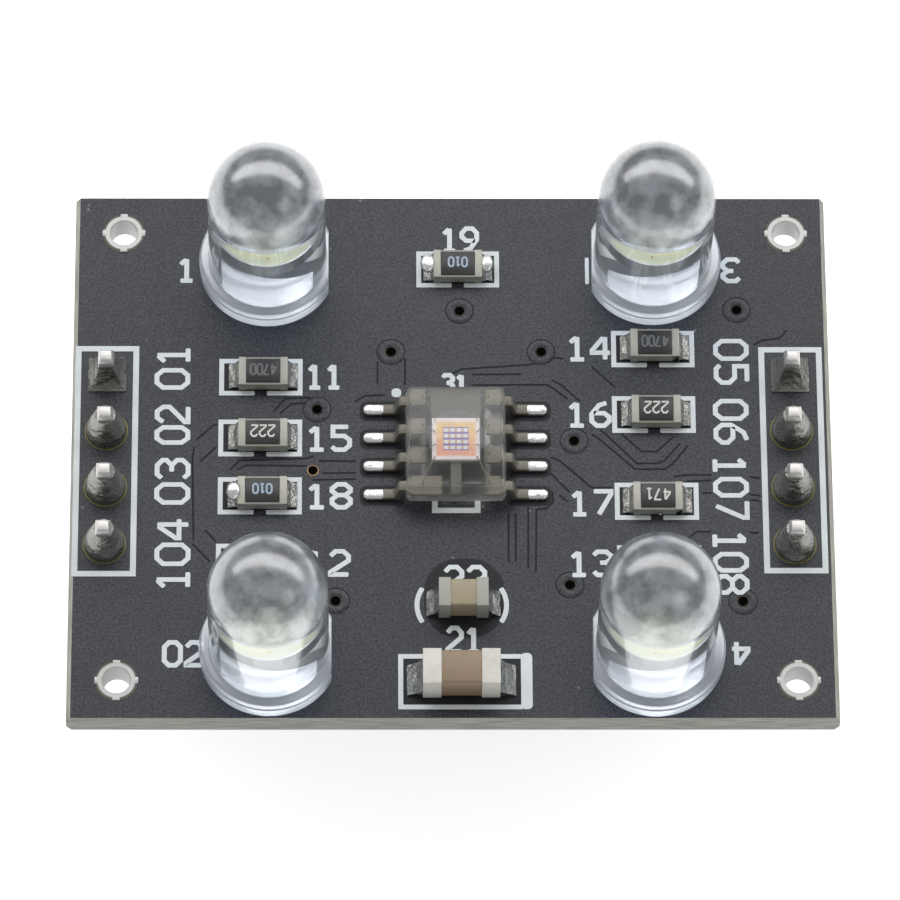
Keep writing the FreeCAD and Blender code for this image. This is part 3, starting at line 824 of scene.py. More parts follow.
BOARD_LOW, BOARD_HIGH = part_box("circuit_board")
TOP = BOARD_HIGH.z
LENS_LOW, LENS_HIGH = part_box("lamp_lens_1")
MASK_COLOUR = (0.021, 0.0225, 0.029)
BARE_MASK_AND_SHADE_COLOUR = (0.0145, 0.015, 0.0185)
MASK_GRAIN = {"grain": 13.0, "height": 0.012}
MASK = SolderMask("solder_mask", MASK_COLOUR, top=TOP, bottom=BOARD_LOW.z, **MASK_GRAIN)
MASK_PAINT = SolderMask("mask_paint", MASK_COLOUR, **MASK_GRAIN)
# Partly bare mask with no copper under it, partly painted shade round the chips and the sensor's leads.
MASK_BARE_AND_SHADE = Grained("bare_mask", BARE_MASK_AND_SHADE_COLOUR, 0.5, mottling=0.4, shine=0.3, **MASK_GRAIN)
# Painted shade: dark lines along the trace edges and round the via covers stand for the shade at their raised edges.
EDGE_SHADE = Grained("mask_groove", BARE_MASK_AND_SHADE_COLOUR, 0.6, grain=9.0, mottling=0.3, shine=0.2)
INK = Grained("silkscreen_ink", (0.66, 0.7, 0.71), 0.55, grain=8.0, height=0.01, mottling=0.1)
SOLDER = Grained("solder", (0.8, 0.8, 0.79), 0.26, metallic=0.9, grain=2.6, height=0.05, spread=0.3)
CHIP_SOLDER = Grained(
    "chip_solder_metal", (0.42, 0.42, 0.4), 0.24, metallic=1.0, grain=2.6, height=0.12, spread=0.3,
)
DULL_SOLDER = Grained(
    "header_solder_metal", (0.27, 0.27, 0.25), 0.3, metallic=0.9, grain=1.6, height=0.16, spread=0.3,
)
TIN = Grained("tinned_copper", (0.5, 0.5, 0.49), 0.42, metallic=0.5, grain=3.0, height=0.01)
PIN = Grained("pin_metal", (0.6, 0.585, 0.57), 0.38, metallic=0.7, grain=3.0, height=0.006)
STRIP = Grained("strip_plastic", (0.018, 0.018, 0.018), 0.5, grain=5.0, height=0.01, mottling=0.2)
LENS = ClearEpoxy(
    "lamp_epoxy", (0.86, 0.925, 1.0), 0.03, milk=0.075, coat=1.0,
    base_level=LENS_LOW.z, base_haze=0.34, cloud_level=LENS_HIGH.z - 2.6 * MM, cloud=0.3, cloud_height=0.008,
)
FINE_WIRE = Grained("fine_wire", (0.2, 0.185, 0.14), 0.4, metallic=0.4, grain=4.0, height=0.002)
SMOKE = ClearEpoxy("sensor_epoxy", (0.88, 0.87, 0.83), 0.1, milk=0.025)
SMOKE_SIDE = ClearEpoxy("sensor_epoxy_sides", (0.9, 0.89, 0.85), 0.45, milk=0.1)
WINDOW = Film("sensor_window", (0.44, 0.45, 0.53), 0.3, cover=0.16)
LEAD = Grained("silver_lead_frame", (0.6, 0.6, 0.58), 0.35, metallic=1.0, grain=4.0, height=0.006)
FRAME = Grained("sensor_lead_frame", (0.17, 0.16, 0.13), 0.42, metallic=0.3, grain=4.0, height=0.004)
PADDLE = Grained("sensor_paddle_metal", (0.085, 0.085, 0.078), 0.4, metallic=0.3, grain=4.0, height=0.004)
PHOSPHOR = Grained("phosphor", (0.93, 0.93, 0.6), 0.5, grain=12.0, height=0.004)
CRYSTAL = Grained("lamp_chip", (0.55, 0.65, 0.7), 0.15)
GOLD = Grained("gold_wire", (0.9, 0.68, 0.3), 0.25, metallic=1.0)
CAPS = Grained("tinned_ends", (0.4, 0.39, 0.34), 0.42, metallic=0.2, grain=5.0, height=0.012)
PALE_CAPS = TwoTone(
    "silver_ends", (0.66, 0.64, 0.58), 0.5, grain=5.0, height=0.01, mottling=0.14,
    behind=(0.36, 0.36, 0.32), border=-8.2 * MM,
)
SMALL_CERAMIC = Grained("tan_ceramic", (0.33, 0.285, 0.19), 0.45, grain=4.0)
LARGE_CERAMIC = Grained("brown_ceramic", (0.27, 0.195, 0.125), 0.4, grain=4.0)
# Partly bare laminate in each ring's clearance, partly painted shade along the mask's edge round it.
CLEARANCE_LAMINATE_AND_SHADE = Grained("mask_edge", (0.11, 0.1, 0.06), 0.5)
OLIVE = Grained("pad_edge", (0.2, 0.18, 0.07), 0.4, metallic=0.4)
# Painted shade: a near-black disc stands for the shade inside each via hole.
HOLE_SHADE = Grained("via_hole", (0.003, 0.0025, 0.002), 0.8, shine=0.0)
VIA_COPPER = Grained("via_rim", (0.05, 0.04, 0.025), 0.5, metallic=0.2)
BRASS = Grained("via_brass", (0.5, 0.34, 0.16), 0.4, metallic=0.6)
CODE_INK = Grained("code_ink", (0.6, 0.59, 0.55), 0.5)
FAINT_INK = Grained("faint_code_ink", (0.13, 0.13, 0.13), 0.5)
BLUE_INK = Grained("blue_code_ink", (0.33, 0.42, 0.52), 0.5)


def add_piece(obj: Obj, finish: Finish, slot: str, *replaced: str) -> Obj:
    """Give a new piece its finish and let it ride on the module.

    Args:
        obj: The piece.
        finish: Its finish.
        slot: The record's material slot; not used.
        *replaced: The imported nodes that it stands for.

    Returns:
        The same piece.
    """
    obj.data.materials.clear()
    obj.data.materials.append(finish.material())
    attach(obj, BODY)
    if replaced:
        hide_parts(*replaced)
    LOG.info("%s: %d faces", obj.name, len(obj.data.polygons))
    return obj


def add_rounded(node: str, width: float, finish: Finish, slot: str, segments: int = 2) -> None:
    """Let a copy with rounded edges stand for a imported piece."""
    add_piece(softened(node, width, segments), finish, slot, node)


def dress_node(node: str, finish: Finish) -> None:
    """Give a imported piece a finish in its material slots."""
    obj = frame["nodes"][node]
    if not obj.material_slots:
        obj.data.materials.append(finish.material())
    for place in obj.material_slots:
        place.material = finish.material()
    LOG.info("%s: finish %s", node, finish.name)


def middle(node: str) -> Vector:
    """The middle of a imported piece's box."""
    low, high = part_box(node)
    return (low + high) / 2


def on_board(x: float, y: float, height: float = 0.0) -> Vector:
    """A place over the board's top face, from millimetres."""
    return Vector((x * MM, y * MM, TOP + height * MM))


# ---- Printing ----

DIGIT_STROKES: dict[str, list[list[Point]]] = {
    "0": [[(0, 0.2), (0.2, 0), (0.5, 0), (0.7, 0.2), (0.7, 0.8), (0.5, 1), (0.2, 1), (0, 0.8), (0, 0.2)]],
    "1": [[(0.1, 0.75), (0.35, 0.98)], [(0.37, 1), (0.37, 0)], [(0.1, 0), (0.64, 0)]],
    "2": [[(0, 0.8), (0.2, 1), (0.5, 1), (0.7, 0.8), (0.7, 0.6), (0, 0.1), (0, 0), (0.7, 0)]],
    "3": [
        [(0, 0.85), (0.15, 1), (0.5, 1), (0.7, 0.83), (0.7, 0.7), (0.5, 0.53), (0.25, 0.53)],
        [(0.5, 0.53), (0.7, 0.36), (0.7, 0.18), (0.5, 0), (0.15, 0), (0, 0.15)],
    ],
    "4": [[(0.5, 0), (0.5, 1)], [(0.44, 0.98), (0, 0.4), (0, 0.3), (0.7, 0.3)]],
    "5": [
        [(0.65, 1), (0.05, 1), (0.05, 0.6), (0.5, 0.6), (0.7, 0.43), (0.7, 0.18), (0.5, 0), (0.15, 0), (0, 0.13)],
    ],
    "6": [
        [(0.6, 1), (0.3, 0.9), (0, 0.5), (0, 0.2), (0.2, 0), (0.5, 0), (0.7, 0.2), (0.7, 0.38), (0.5, 0.55),
         (0.08, 0.55)],
    ],
    "7": [[(0, 1), (0.7, 1), (0.7, 0.88), (0.2, 0)]],
    "8": [
        [(0.2, 0.53), (0, 0.7), (0, 0.82), (0.2, 1), (0.5, 1), (0.7, 0.82), (0.7, 0.7), (0.5, 0.53), (0.2, 0.53)],
        [(0.2, 0.53), (0, 0.35), (0, 0.18), (0.2, 0), (0.5, 0), (0.7, 0.18), (0.7, 0.35), (0.5, 0.53), (0.2, 0.53)],
    ],
    "9": [
        [(0.1, 0), (0.4, 0.1), (0.7, 0.5), (0.7, 0.8), (0.5, 1), (0.2, 1), (0, 0.8), (0, 0.62), (0.2, 0.45),
         (0.62, 0.45)],
    ],
}
DIGIT_WIDTH = 0.7
DIGIT_PITCH = 0.95


@dataclass
class Print:
    """Ink laid in strokes on a level face. Lengths here are in millimetres."""

    name: str
    level: float
    thickness: float = 0.016
    lift: float = 0.0012
    levels: int = 5
    end_reach: float = 0.55
    end_rounding: float = 0.4
    strokes: list[tuple[list[Point], float]] = field(default_factory=list)

    def stroke(self, points: Sequence[Point], width: float) -> None:
        """Add one run of ink."""
        self.strokes.append((list(points), width))

    def frame_lines(self, low: Point, high: Point, width: float, gap: float = 0.0) -> None:
        """Add a rectangle, open in the middle of its front and back when it has a gap.

        Args:
            low: Its front left corner.
            high: Its back right corner.
            width: The line's width.
            gap: How much of the front and the back line is left out.
        """
        (x0, y0), (x1, y1) = low, high
        if not gap:
            self.stroke([(x0, y0), (x1, y0), (x1, y1), (x0, y1), (x0, y0)], width)
            return
        middle_x = (x0 + x1) / 2
        for side, end in ((-1, x0), (1, x1)):
            inner = middle_x + side * gap / 2
            self.stroke([(inner, y0), (end, y0), (end, y1), (inner, y1)], width)

    def number(self, text: str, centre: Point, height: float, length: float, width: float, turn: float = 0.0) -> None:
        """Add a number.

        Args:
            text: Its digits.
            centre: Its middle.
            height: Its height over the ink.
            length: Its length over the ink.
            width: The line's width.
            turn: Its turn in degrees.
        """
        tall = height - width
        units = (len(text) - 1) * DIGIT_PITCH + DIGIT_WIDTH
        wide = (length - width) / units
        c, s = math.cos(math.radians(turn)), math.sin(math.radians(turn))
        for place, digit in enumerate(text):
            for run in DIGIT_STROKES[digit]:
                points = []
                for u, v in run:
                    dx = (u + place * DIGIT_PITCH - units / 2) * wide
                    dy = (v - 0.5) * tall
                    points.append((centre[0] + dx * c - dy * s, centre[1] + dx * s + dy * c))
                self.stroke(points, width)

    def ribbon(self, width: float) -> Obj:
        """All the strokes of one width, with flat tops, mitred corners and rounded ends.

        Args:
            width: The strokes' width.

        Returns:
            The strokes as one mesh.
        """
        curve = bpy.data.curves.new(self.name, "CURVE")
        curve.dimensions = "3D"
        ends: list[Vector] = []
        for number, (points, own) in enumerate(self.strokes):
            if own != width:
                continue
            level = self.level + (number % self.levels) * self.lift * MM
            closed = points[0] == points[-1]
            run = points[:-1] if closed else points
            spline = curve.splines.new("POLY")
            spline.points.add(len(run) - 1)
            spline.use_cyclic_u = closed
            for knot, (x, y) in zip(spline.points, run):
                knot.co = (x * MM, y * MM, level, 1.0)
            if not closed:
                ends += [Vector(points[0]) * MM, Vector(points[-1]) * MM]
        part = bpy.data.objects.new(self.name, curve)
        bpy.context.scene.collection.objects.link(part)
        pick(part)
        bpy.ops.object.convert(target="MESH")
        part = bpy.context.object
        with editing(part):
            bpy.ops.mesh.extrude_region_move(TRANSFORM_OT_translate={"value": (0, 0, self.thickness * MM)})
        modified(part, "SOLIDIFY", thickness=width * MM, offset=0.0, use_even_offset=True)
        reach = self.end_reach * width * MM

        def at_end(co: Vector) -> bool:
            """Whether a place is at the end of a stroke."""
            return any((co.xy - end).length < reach for end in ends)

        if ends:
            round_upright(part, self.end_rounding * width * MM, at_end, 3)
        return part

    def lay(self) -> Obj:
        """Turn the strokes into a thin mesh on the face."""
        made = joined(self.name, [self.ribbon(width) for width in sorted({w for _, w in self.strokes})])
        with editing(made):
            bpy.ops.mesh.normals_make_consistent(inside=False)
        return made


@dataclass
class Silkscreen:
    """The white print on the board. Lengths are in millimetres."""

    line: float = 0.2
    header_line: float = 0.24
    letter: float = 0.2
    chip_box: Point = (3.21, 1.46)
    chip_gap: float = 0.5
    chip_places: Points = (
        (-7.79, 3.45), (-7.8, 0.69), (-7.8, -1.91), (-7.85, -4.88),
        (8.27, 4.74), (8.26, 1.76), (8.31, -2.15), (8.37, -4.95), (0.29, 8.4),
    )
    chip_labels: Labels = (
        ("11", (-5.21, 3.49), 1.56), ("15", (-5.02, 0.68), 1.92), ("18", (-5.0, -1.91), 1.95),
        ("12", (-5.06, -4.9), 1.92), ("14", (5.65, 4.78), 1.95), ("16", (5.59, 1.77), 1.9),
        ("17", (5.63, -2.22), 1.85), ("13", (5.58, -4.92), 1.88), ("19", (0.36, 9.78), 1.65),
    )
    label_height: float = 1.23
    left_header: tuple[Point, Point] = ((-15.26, -5.38), (-12.9, 4.74))
    right_header: tuple[Point, Point] = ((12.72, -5.24), (15.08, 4.71))
    left_labels: Labels = (
        ("01", (-11.41, 3.9), 2.05), ("02", (-11.38, 1.29), 1.81), ("03", (-11.35, -1.26), 2.1),
        ("104", (-11.31, -4.52), 3.33),
    )
    right_labels: Labels = (
        ("05", (11.48, 4.16), 2.1), ("06", (11.41, 1.43), 2.08), ("107", (11.34, -1.52), 2.92),
        ("108", (11.26, -4.87), 2.88),
    )
    pin_label_height: float = 1.46
    capacitor_box: Points = ((2.8, -9.02), (-2.1, -9.02), (-2.1, -11.23), (2.8, -11.23))
    capacitor_bar: Points = ((2.95, -8.87), (2.95, -11.33))
    bar_width: float = 0.46
    brackets: tuple[tuple[Point, float], ...] = (((-0.05, -6.77), 180.0), ((0.78, -6.77), 0.0))
    bracket_radius: float = 1.39
    bracket_reach: float = 33.0
    capacitor_labels: Labels = (("22", (0.5, -5.6), 1.8), ("21", (0.44, -8.29), 1.5))
    dot: Points = ((-2.45, 2.74), (-2.05, 2.74))
    dot_width: float = 0.4
    notch: Points = ((-0.7, -2.1), (-0.7, -2.56), (1.04, -2.56), (1.04, -2.1))
    notch_width: float = 0.23
    sensor_label: tuple[str, Point, float, float] = ("31", (0.13, 3.17), 0.95, 1.15)
    lamp_labels: tuple[tuple[str, Point, float, float], ...] = (
        ("1", (-10.9, 8.37), 0.85, 0.0), ("3", (11.57, 8.37), 0.88, 180.0),
        ("02", (-10.82, -8.91), 1.73, 0.0), ("4", (11.53, -8.89), 0.85, 180.0),
    )
    lamp_label_height: float = 1.2
    flat_bar: Points = ((5.62, 8.95), (5.62, 7.72))
    flat_bar_width: float = 0.16

    def chip_boxes(self, ink: Print) -> None:
        """Lines round each chip resistor, with its number beside it."""
        half_x, half_y = self.chip_box[0] / 2, self.chip_box[1] / 2
        for x, y in self.chip_places:
            ink.frame_lines((x - half_x, y - half_y), (x + half_x, y + half_y), self.line, self.chip_gap)
        for text, place, length in self.chip_labels:
            ink.number(text, place, self.label_height, length, self.letter)

    def headers(self, ink: Print) -> None:
        """The long box round each header row and the number of each pin."""
        for low, high in (self.left_header, self.right_header):
            ink.frame_lines(low, high, self.header_line)
        for labels, turn in ((self.left_labels, 90.0), (self.right_labels, -90.0)):
            for text, place, length in labels:
                ink.number(text, place, self.pin_label_height, length, self.letter, turn)

    def capacitors(self, ink: Print) -> None:
        """The box with its thick end bar and the two brackets."""
        ink.stroke(self.capacitor_box, self.line)
        ink.stroke(self.capacitor_bar, self.bar_width)
        for centre, side in self.brackets:
            start, end = side - self.bracket_reach, side + self.bracket_reach
            ink.stroke(arc(centre, self.bracket_radius, start, end, 8), self.line)
        for text, place, length in self.capacitor_labels:
            ink.number(text, place, self.label_height, length, self.letter)

    def sensor(self, ink: Print) -> None:
        """The dot at the first lead, the notch mark and the number."""
        ink.stroke(self.dot, self.dot_width)
        ink.stroke(self.notch, self.notch_width)
        ink.number(*self.sensor_label, self.letter)

    def lamps(self, ink: Print) -> None:
        """The number beside each lamp and the bar at one flat."""
        for text, place, length, turn in self.lamp_labels:
            ink.number(text, place, self.lamp_label_height, length, self.letter, turn)
        ink.stroke(self.flat_bar, self.flat_bar_width)

    def build(self) -> None:
        """Lay all the print in one piece."""
        ink = Print("silkscreen", TOP)
        self.chip_boxes(ink)
        self.headers(ink)
        self.capacitors(ink)
        self.sensor(ink)
        self.lamps(ink)
        add_piece(ink.lay(), INK, "board")


# ---- Sub-assemblies ----


# Lines of painted shade along the edges of the copper traces, in millimetres.
TRACE_SHADE_LINES: tuple[Points, ...] = (
    ((4.6, 4.31), (4.22, 4.36), (3.98, 4.17), (3.09, 4.02), (0.43, 3.83), (0.08, 3.64)),
    ((5.75, 3.94), (6.29, 3.41), (6.7, 3.0)),
    ((2.88, 3.6), (0.83, 3.58)),
    ((4.11, 3.33), (4.51, 3.11), (5.25, 2.35)),
    ((0.83, 3.1), (3.9, 3.12), (4.17, 2.95), (4.75, 2.46)),
    ((6.05, 1.07), (6.25, 0.91), (7.52, -0.44), (8.4, -0.44), (8.67, -0.3), (9.31, 0.46)),
    ((5.71, 0.88), (5.98, 0.69), (7.45, -0.7), (8.67, -0.7), (9.0, -0.45), (9.64, 0.39)),
    ((6.9, 0.92), (7.74, 0.09), (8.35, 0.09), (9.04, 0.76)),
    ((4.03, -0.18), (4.4, -0.33), (5.68, -1.53), (6.5, -1.53)),
    ((4.02, -0.89), (4.79, -1.75)),
    ((4.35, -1.86), (4.69, -2.16)),
    ((4.08, -1.71), (4.11, -2.16), (3.84, -2.47), (3.42, -2.52), (3.37, -5.28)),
    ((3.09, -2.39), (3.06, -5.13)),
    ((2.58, -2.68), (2.56, -4.84)),
    ((2.29, -2.68), (2.27, -4.84)),
    ((-3.02, 4.17), (-3.02, 3.1)),
    ((-1.89, 4.32), (-1.9, 3.1)),
    ((-3.94, 2.34), (-3.53, 2.61), (-2.7, 2.65)),
    ((-7.27, 1.89), (-6.8, 2.48), (-5.85, 2.53), (-5.57, 2.4)),
    ((-7.0, 1.81), (-6.53, 2.25), (-5.91, 2.28)),
    ((-10.4, 0.6), (-9.72, 1.27), (-9.55, 1.28)),
    ((-10.24, -0.37), (-9.57, 0.31)),
    ((-9.02, -0.74), (-8.62, -0.31), (-5.91, -0.23), (-5.6, -0.11)),
    ((-8.75, -0.74), (-8.34, -0.53), (-5.9, -0.56)),
    ((-5.43, -0.33), (-3.9, -0.35)),
    ((-5.29, -0.89), (-3.9, -0.87)),
    ((-5.66, -1.19), (-3.9, -1.15)),
    ((-10.01, -3.43), (-9.55, -3.95)),
    ((-10.5, -4.05), (-9.79, -4.84)),
    ((-10.49, 0.3), (-10.55, -0.3), (-10.47, -3.88)),
    ((9.0, -1.04), (9.48, -0.96), (10.57, -0.96)),
    ((9.54, -1.25), (10.56, -1.2)),
    ((12.1, -1.04), (12.53, -1.11)),
    ((10.14, -1.75), (10.58, -1.77)),
    ((12.1, -1.82), (12.51, -1.9)),
    ((12.1, -2.07), (12.54, -2.14)),
    ((9.63, -3.72), (9.9, -3.5), (10.5, -3.5)),
    ((12.05, -3.54), (12.43, -3.55)),
    ((13.8, 5.63), (13.51, 5.24), (12.82, 5.17), (12.41, 4.94)),
)


@dataclass
class Board:
    """The board with its mounting rings, vias and traces. Lengths are in millimetres."""

    hole_radius: float = 0.58
    plating: float = 0.015
    ring: float = 0.2
    ring_edge: float = 0.02
    ring_height: float = 0.045
    ring_steps: int = 64
    nub_root: float = 0.06
    nub_reach: float = 0.1
    nub_width: float = 0.3
    nub_height: float = 0.95
    clearance: float = 0.07
    clearance_gap: float = 0.01
    clearance_height: float = 0.008
    clearance_steps: int = 48
    trace_edge: float = 0.075
    trace_height: float = 0.006
    patch_corner: float = 0.08
    patch_margin: float = 0.08
    patch_height: float = 0.003
    capacitor_patches: tuple[tuple[Point, Point, float], ...] = (
        ((-2.02, -11.15), (2.75, -9.1), 0.08), ((-1.15, -8.2), (2.1, -4.7), 1.4),
    )
    package_x: float = 0.15
    left_leads: Point = (-3.75, -1.9)
    right_leads: Point = (2.2, 4.05)
    lead_reach: float = 0.45
    lead_corner: float = 0.3
    via_steps: int = 32
    via_rim: Points = ((0.205, 0.0), (0.205, 0.02), (0.225, 0.026), (0.245, 0.0))
    via_shade_disc: Points = ((0.0, 0.004), (0.2, 0.004), (0.215, 0.0))
    via_cover: Points = ((0.24, 0.0), (0.28, 0.016), (0.5, 0.014), (0.545, 0.0))
    via_outline: Points = ((0.55, 0.0), (0.555, 0.005), (0.59, 0.005), (0.595, 0.0))
    via_places: Points = (
        (0.35, 6.49), (-2.47, 4.61), (3.69, 4.61), (-5.49, 1.99), (4.99, 0.57), (11.75, 6.54),
        (-4.72, -6.58), (11.71, -6.6), (4.74, -5.87),
    )
    brass_via: Point = (-5.65, -0.77)

    def hole_places(self) -> list[Vector]:
        """The mounting holes, on the board's top face."""
        mounts = frame["record"]["mounts"]
        holes = next(m for m in mounts if m["name"] == "mounting_holes")
        x, y, z = holes["pos_m"]
        half_x, half_y = (holes["dims"][f"spacing_{a}_mm"] * MM / 2 for a in "xy")
        return [Vector((x + sx * half_x, y + sy * half_y, z)) for sx in (-1, 1) for sy in (-1, 1)]

    def ring_piece(self) -> Obj:
        """One ring with four nubs and the plating inside its hole, at the origin."""
        inner, outer = self.hole_radius - self.plating, self.hole_radius + self.ring
        high, edge = self.ring_height, self.ring_edge
        depth = (BOARD_HIGH.z - BOARD_LOW.z) / MM
        profile = [
            (inner, -depth), (inner, high * 0.6), (inner + edge, high), (outer - edge, high),
            (outer, high * 0.5), (outer, 0.0),
        ]
        ring = spun("ring", profile, self.ring_steps)
        nub_low = Vector((outer - self.nub_root, -self.nub_width / 2, 0.0)) * MM
        nub_high = Vector((outer + self.nub_reach, self.nub_width / 2, high * self.nub_height)) * MM
        nubs = []
        for turn in range(4):
            nub = modified(block("nub", nub_low, nub_high), "BEVEL", width=edge * MM, segments=2)
            nubs.append(moved(nub, Vector((0, 0, 0)), 90.0 * turn))
        return smooth(joined("ring", [ring] + nubs), CRISP)

    def rings(self) -> None:
        """The four rings, each in its clearance in the mask."""
        rings = copies(self.ring_piece(), self.hole_places())
        add_piece(joined("mounting_ring_metal", rings), TIN, "tinned_copper", "mounting_rings")
        inner, high = self.hole_radius + self.clearance_gap, self.clearance_height
        outer = self.hole_radius + self.ring + self.clearance
        # The dark olive ring: bare laminate, and painted shade at the mask's edge.
        edge = spun("edge", [(inner, 0.0), (inner, high), (outer, high), (outer, 0.0)], self.clearance_steps)
        add_piece(joined("mask_clearances", copies(edge, self.hole_places())), CLEARANCE_LAMINATE_AND_SHADE, "board")

    def repeated(self, name: str, profile: Sequence[Point], places: Sequence[Point], finish: Finish) -> None:
        """One turned shape at several places on the board, as one piece.

        Args:
            name: The piece's name.
            profile: The shape's outline as (radius, height) in millimetres.
            places: Where it stands.
            finish: Its finish.
        """
        model = smooth(spun(name, profile, self.via_steps), ROUNDED)
        made = copies(model, [on_board(x, y) for x, y in places])
        add_piece(joined(name, made), finish, "board")

    def vias(self) -> None:
        """Small plated holes, each a near-black disc of painted shade for its hole, in a low round cover of mask with
        a dark outline of painted shade.
        """
        covered, brass = self.via_places, (self.brass_via,)
        self.repeated("via_rims", self.via_rim, covered, VIA_COPPER)
        self.repeated("via_brass_rim", self.via_rim, brass, BRASS)
        # Painted shade: near-black discs over the via holes.
        self.repeated("via_pits", self.via_shade_disc, covered + brass, HOLE_SHADE)
        self.repeated("via_covers", self.via_cover, covered, MASK_PAINT)
        # Painted shade: a dark ring round each via cover.
        self.repeated("via_outlines", self.via_outline, covered, EDGE_SHADE)

    def bare_and_shaded_patches(self) -> None:
        """Darker mask round the chip resistors and capacitors and between the sensor's leads: partly mask with no
        copper under it, partly painted shade.
        """
        screen = Silkscreen()
        half_x, half_y = (side / 2 - self.patch_margin for side in screen.chip_box)
        spans = []
        # Under and round each chip resistor: darker mask, partly painted shade.
        for x, y in screen.chip_places:
            spans.append(((x - half_x, y - half_y), (x + half_x, y + half_y), self.patch_corner))
        spans += self.capacitor_patches
        # Round the sensor's leads beside the package: painted shade.
        for number in range(1, 9):
            centre = middle(f"sensor_lead_{number}") / MM
            left, right = self.left_leads if centre.x < self.package_x else self.right_leads
            front, back = centre.y - self.lead_reach, centre.y + self.lead_reach
            spans.append(((left, front), (right, back), self.lead_corner))
        plates = [plate("patch", low, high, radius, TOP, self.patch_height) for low, high, radius in spans]
        add_piece(joined("dark_mask_patches", plates), MASK_BARE_AND_SHADE, "board")

    def traces(self) -> None:
        """Dark lines of painted shade along the edges of the copper traces under the mask."""
        lines = Print("trace_edges", TOP, self.trace_height)
        for points in TRACE_SHADE_LINES:
            lines.stroke(points, self.trace_edge)
        add_piece(lines.lay(), EDGE_SHADE, "board")

    def build(self) -> None:
        """Dress the board and add its small features."""
        dress_node("circuit_board", MASK)
        self.rings()
        self.vias()
        self.bare_and_shaded_patches()
        self.traces()


@dataclass
class Headers:
    """The two header rows: pins, strips and solder. Lengths are in millimetres."""

    pad_radius: float = 0.84
    square: float = 1.56
    climb: float = 1.5
    neck: float = 0.42
    tip: float = 0.02
    base: float = 0.04
    bend: float = 0.9
    curved: float = 0.45
    round_steps: int = 32
    steps: int = 12
    square_base: float = 0.05
    square_steps: Points = ((0.93, 0.04), (0.7, 0.42), (0.74, 0.45), (0.8, 0.54))
    square_pins: tuple[int, int] = (1, 5)
    joint_edge: float = 0.12
    joint_turn: float = 37.0
    rim: float = 0.05
    rim_height: float = 0.02
    pin_edge: float = 0.04
    strip_edge: float = 0.08

    def round_joint(self) -> Obj:
        """One cone of solder on a round pad, at the origin."""
        profile = [(self.pad_radius, 0.0), (self.pad_radius, self.base)]
        for i in range(1, self.steps + 1):
            share = i / self.steps
            full = math.cos(share * math.pi / 2) ** self.bend * self.curved + (1 - share) * (1 - self.curved)
            radius = self.neck + (self.pad_radius - self.neck) * full
            profile.append((radius, self.base + (self.climb - self.base) * share))
        profile.append((0.0, self.climb + self.tip))
        return smooth(spun("joint", profile, self.round_steps), ROUNDED)

    def square_joint(self) -> Obj:
        """Solder that climbs from a square pad, at the origin."""
        half = self.square / 2 * MM
        made = block("joint", Vector((-half, -half, 0)), Vector((half, half, self.square_base * MM)))
        with editing(made, everything=False):
            for size, height in self.square_steps:
                select_where(made, lambda co: co.z > max(v.co.z for v in made.data.vertices) - SAME_PLACE)
                bpy.ops.mesh.extrude_region_move(TRANSFORM_OT_translate={"value": (0, 0, height * MM)})
                bpy.ops.transform.resize(value=(size, size, 1), center_override=(0, 0, 0))
        return smooth(bevelled(made, self.joint_edge * MM, 3, CORNER_EDGE), ROUNDED)

    def rim_ring(self) -> Obj:
        """The bare edge of one round pad, at the origin."""
        high = self.rim_height
        inner, outer = self.pad_radius - high, self.pad_radius + self.rim
        return spun("rim", [(inner, 0.0), (inner, high), (outer - high / 2, high), (outer, 0.0)], self.round_steps)

    def build(self) -> None:
        """Round the pins and strips and put a joint at each pin."""
        for number in range(1, 9):
            add_rounded(f"header_pin_{number}", self.pin_edge, PIN, "pin_metal")
        for side in ("left", "right"):
            add_rounded(f"header_strip_{side}", self.strip_edge, STRIP, "strip_plastic")
        round_one, square_one, rim = self.round_joint(), self.square_joint(), self.rim_ring()
        joints, rims = [], []
        for number in range(1, 9):
            centre = middle(f"header_pin_{number}")
            place = Vector((centre.x, centre.y, TOP))
            if number in self.square_pins:
                joints.append(moved(copy_of(square_one, "joint"), place))
            else:
                joints.append(moved(copy_of(round_one, "joint"), place, self.joint_turn * number))
                rims.append(moved(copy_of(rim, "rim"), place))
        for model in (round_one, square_one, rim):
            bpy.data.objects.remove(model)
        add_piece(joined("header_solder_metal_joints", joints), DULL_SOLDER, "solder", "header_solder")
        add_piece(joined("header_pad_rims", rims), OLIVE, "board")


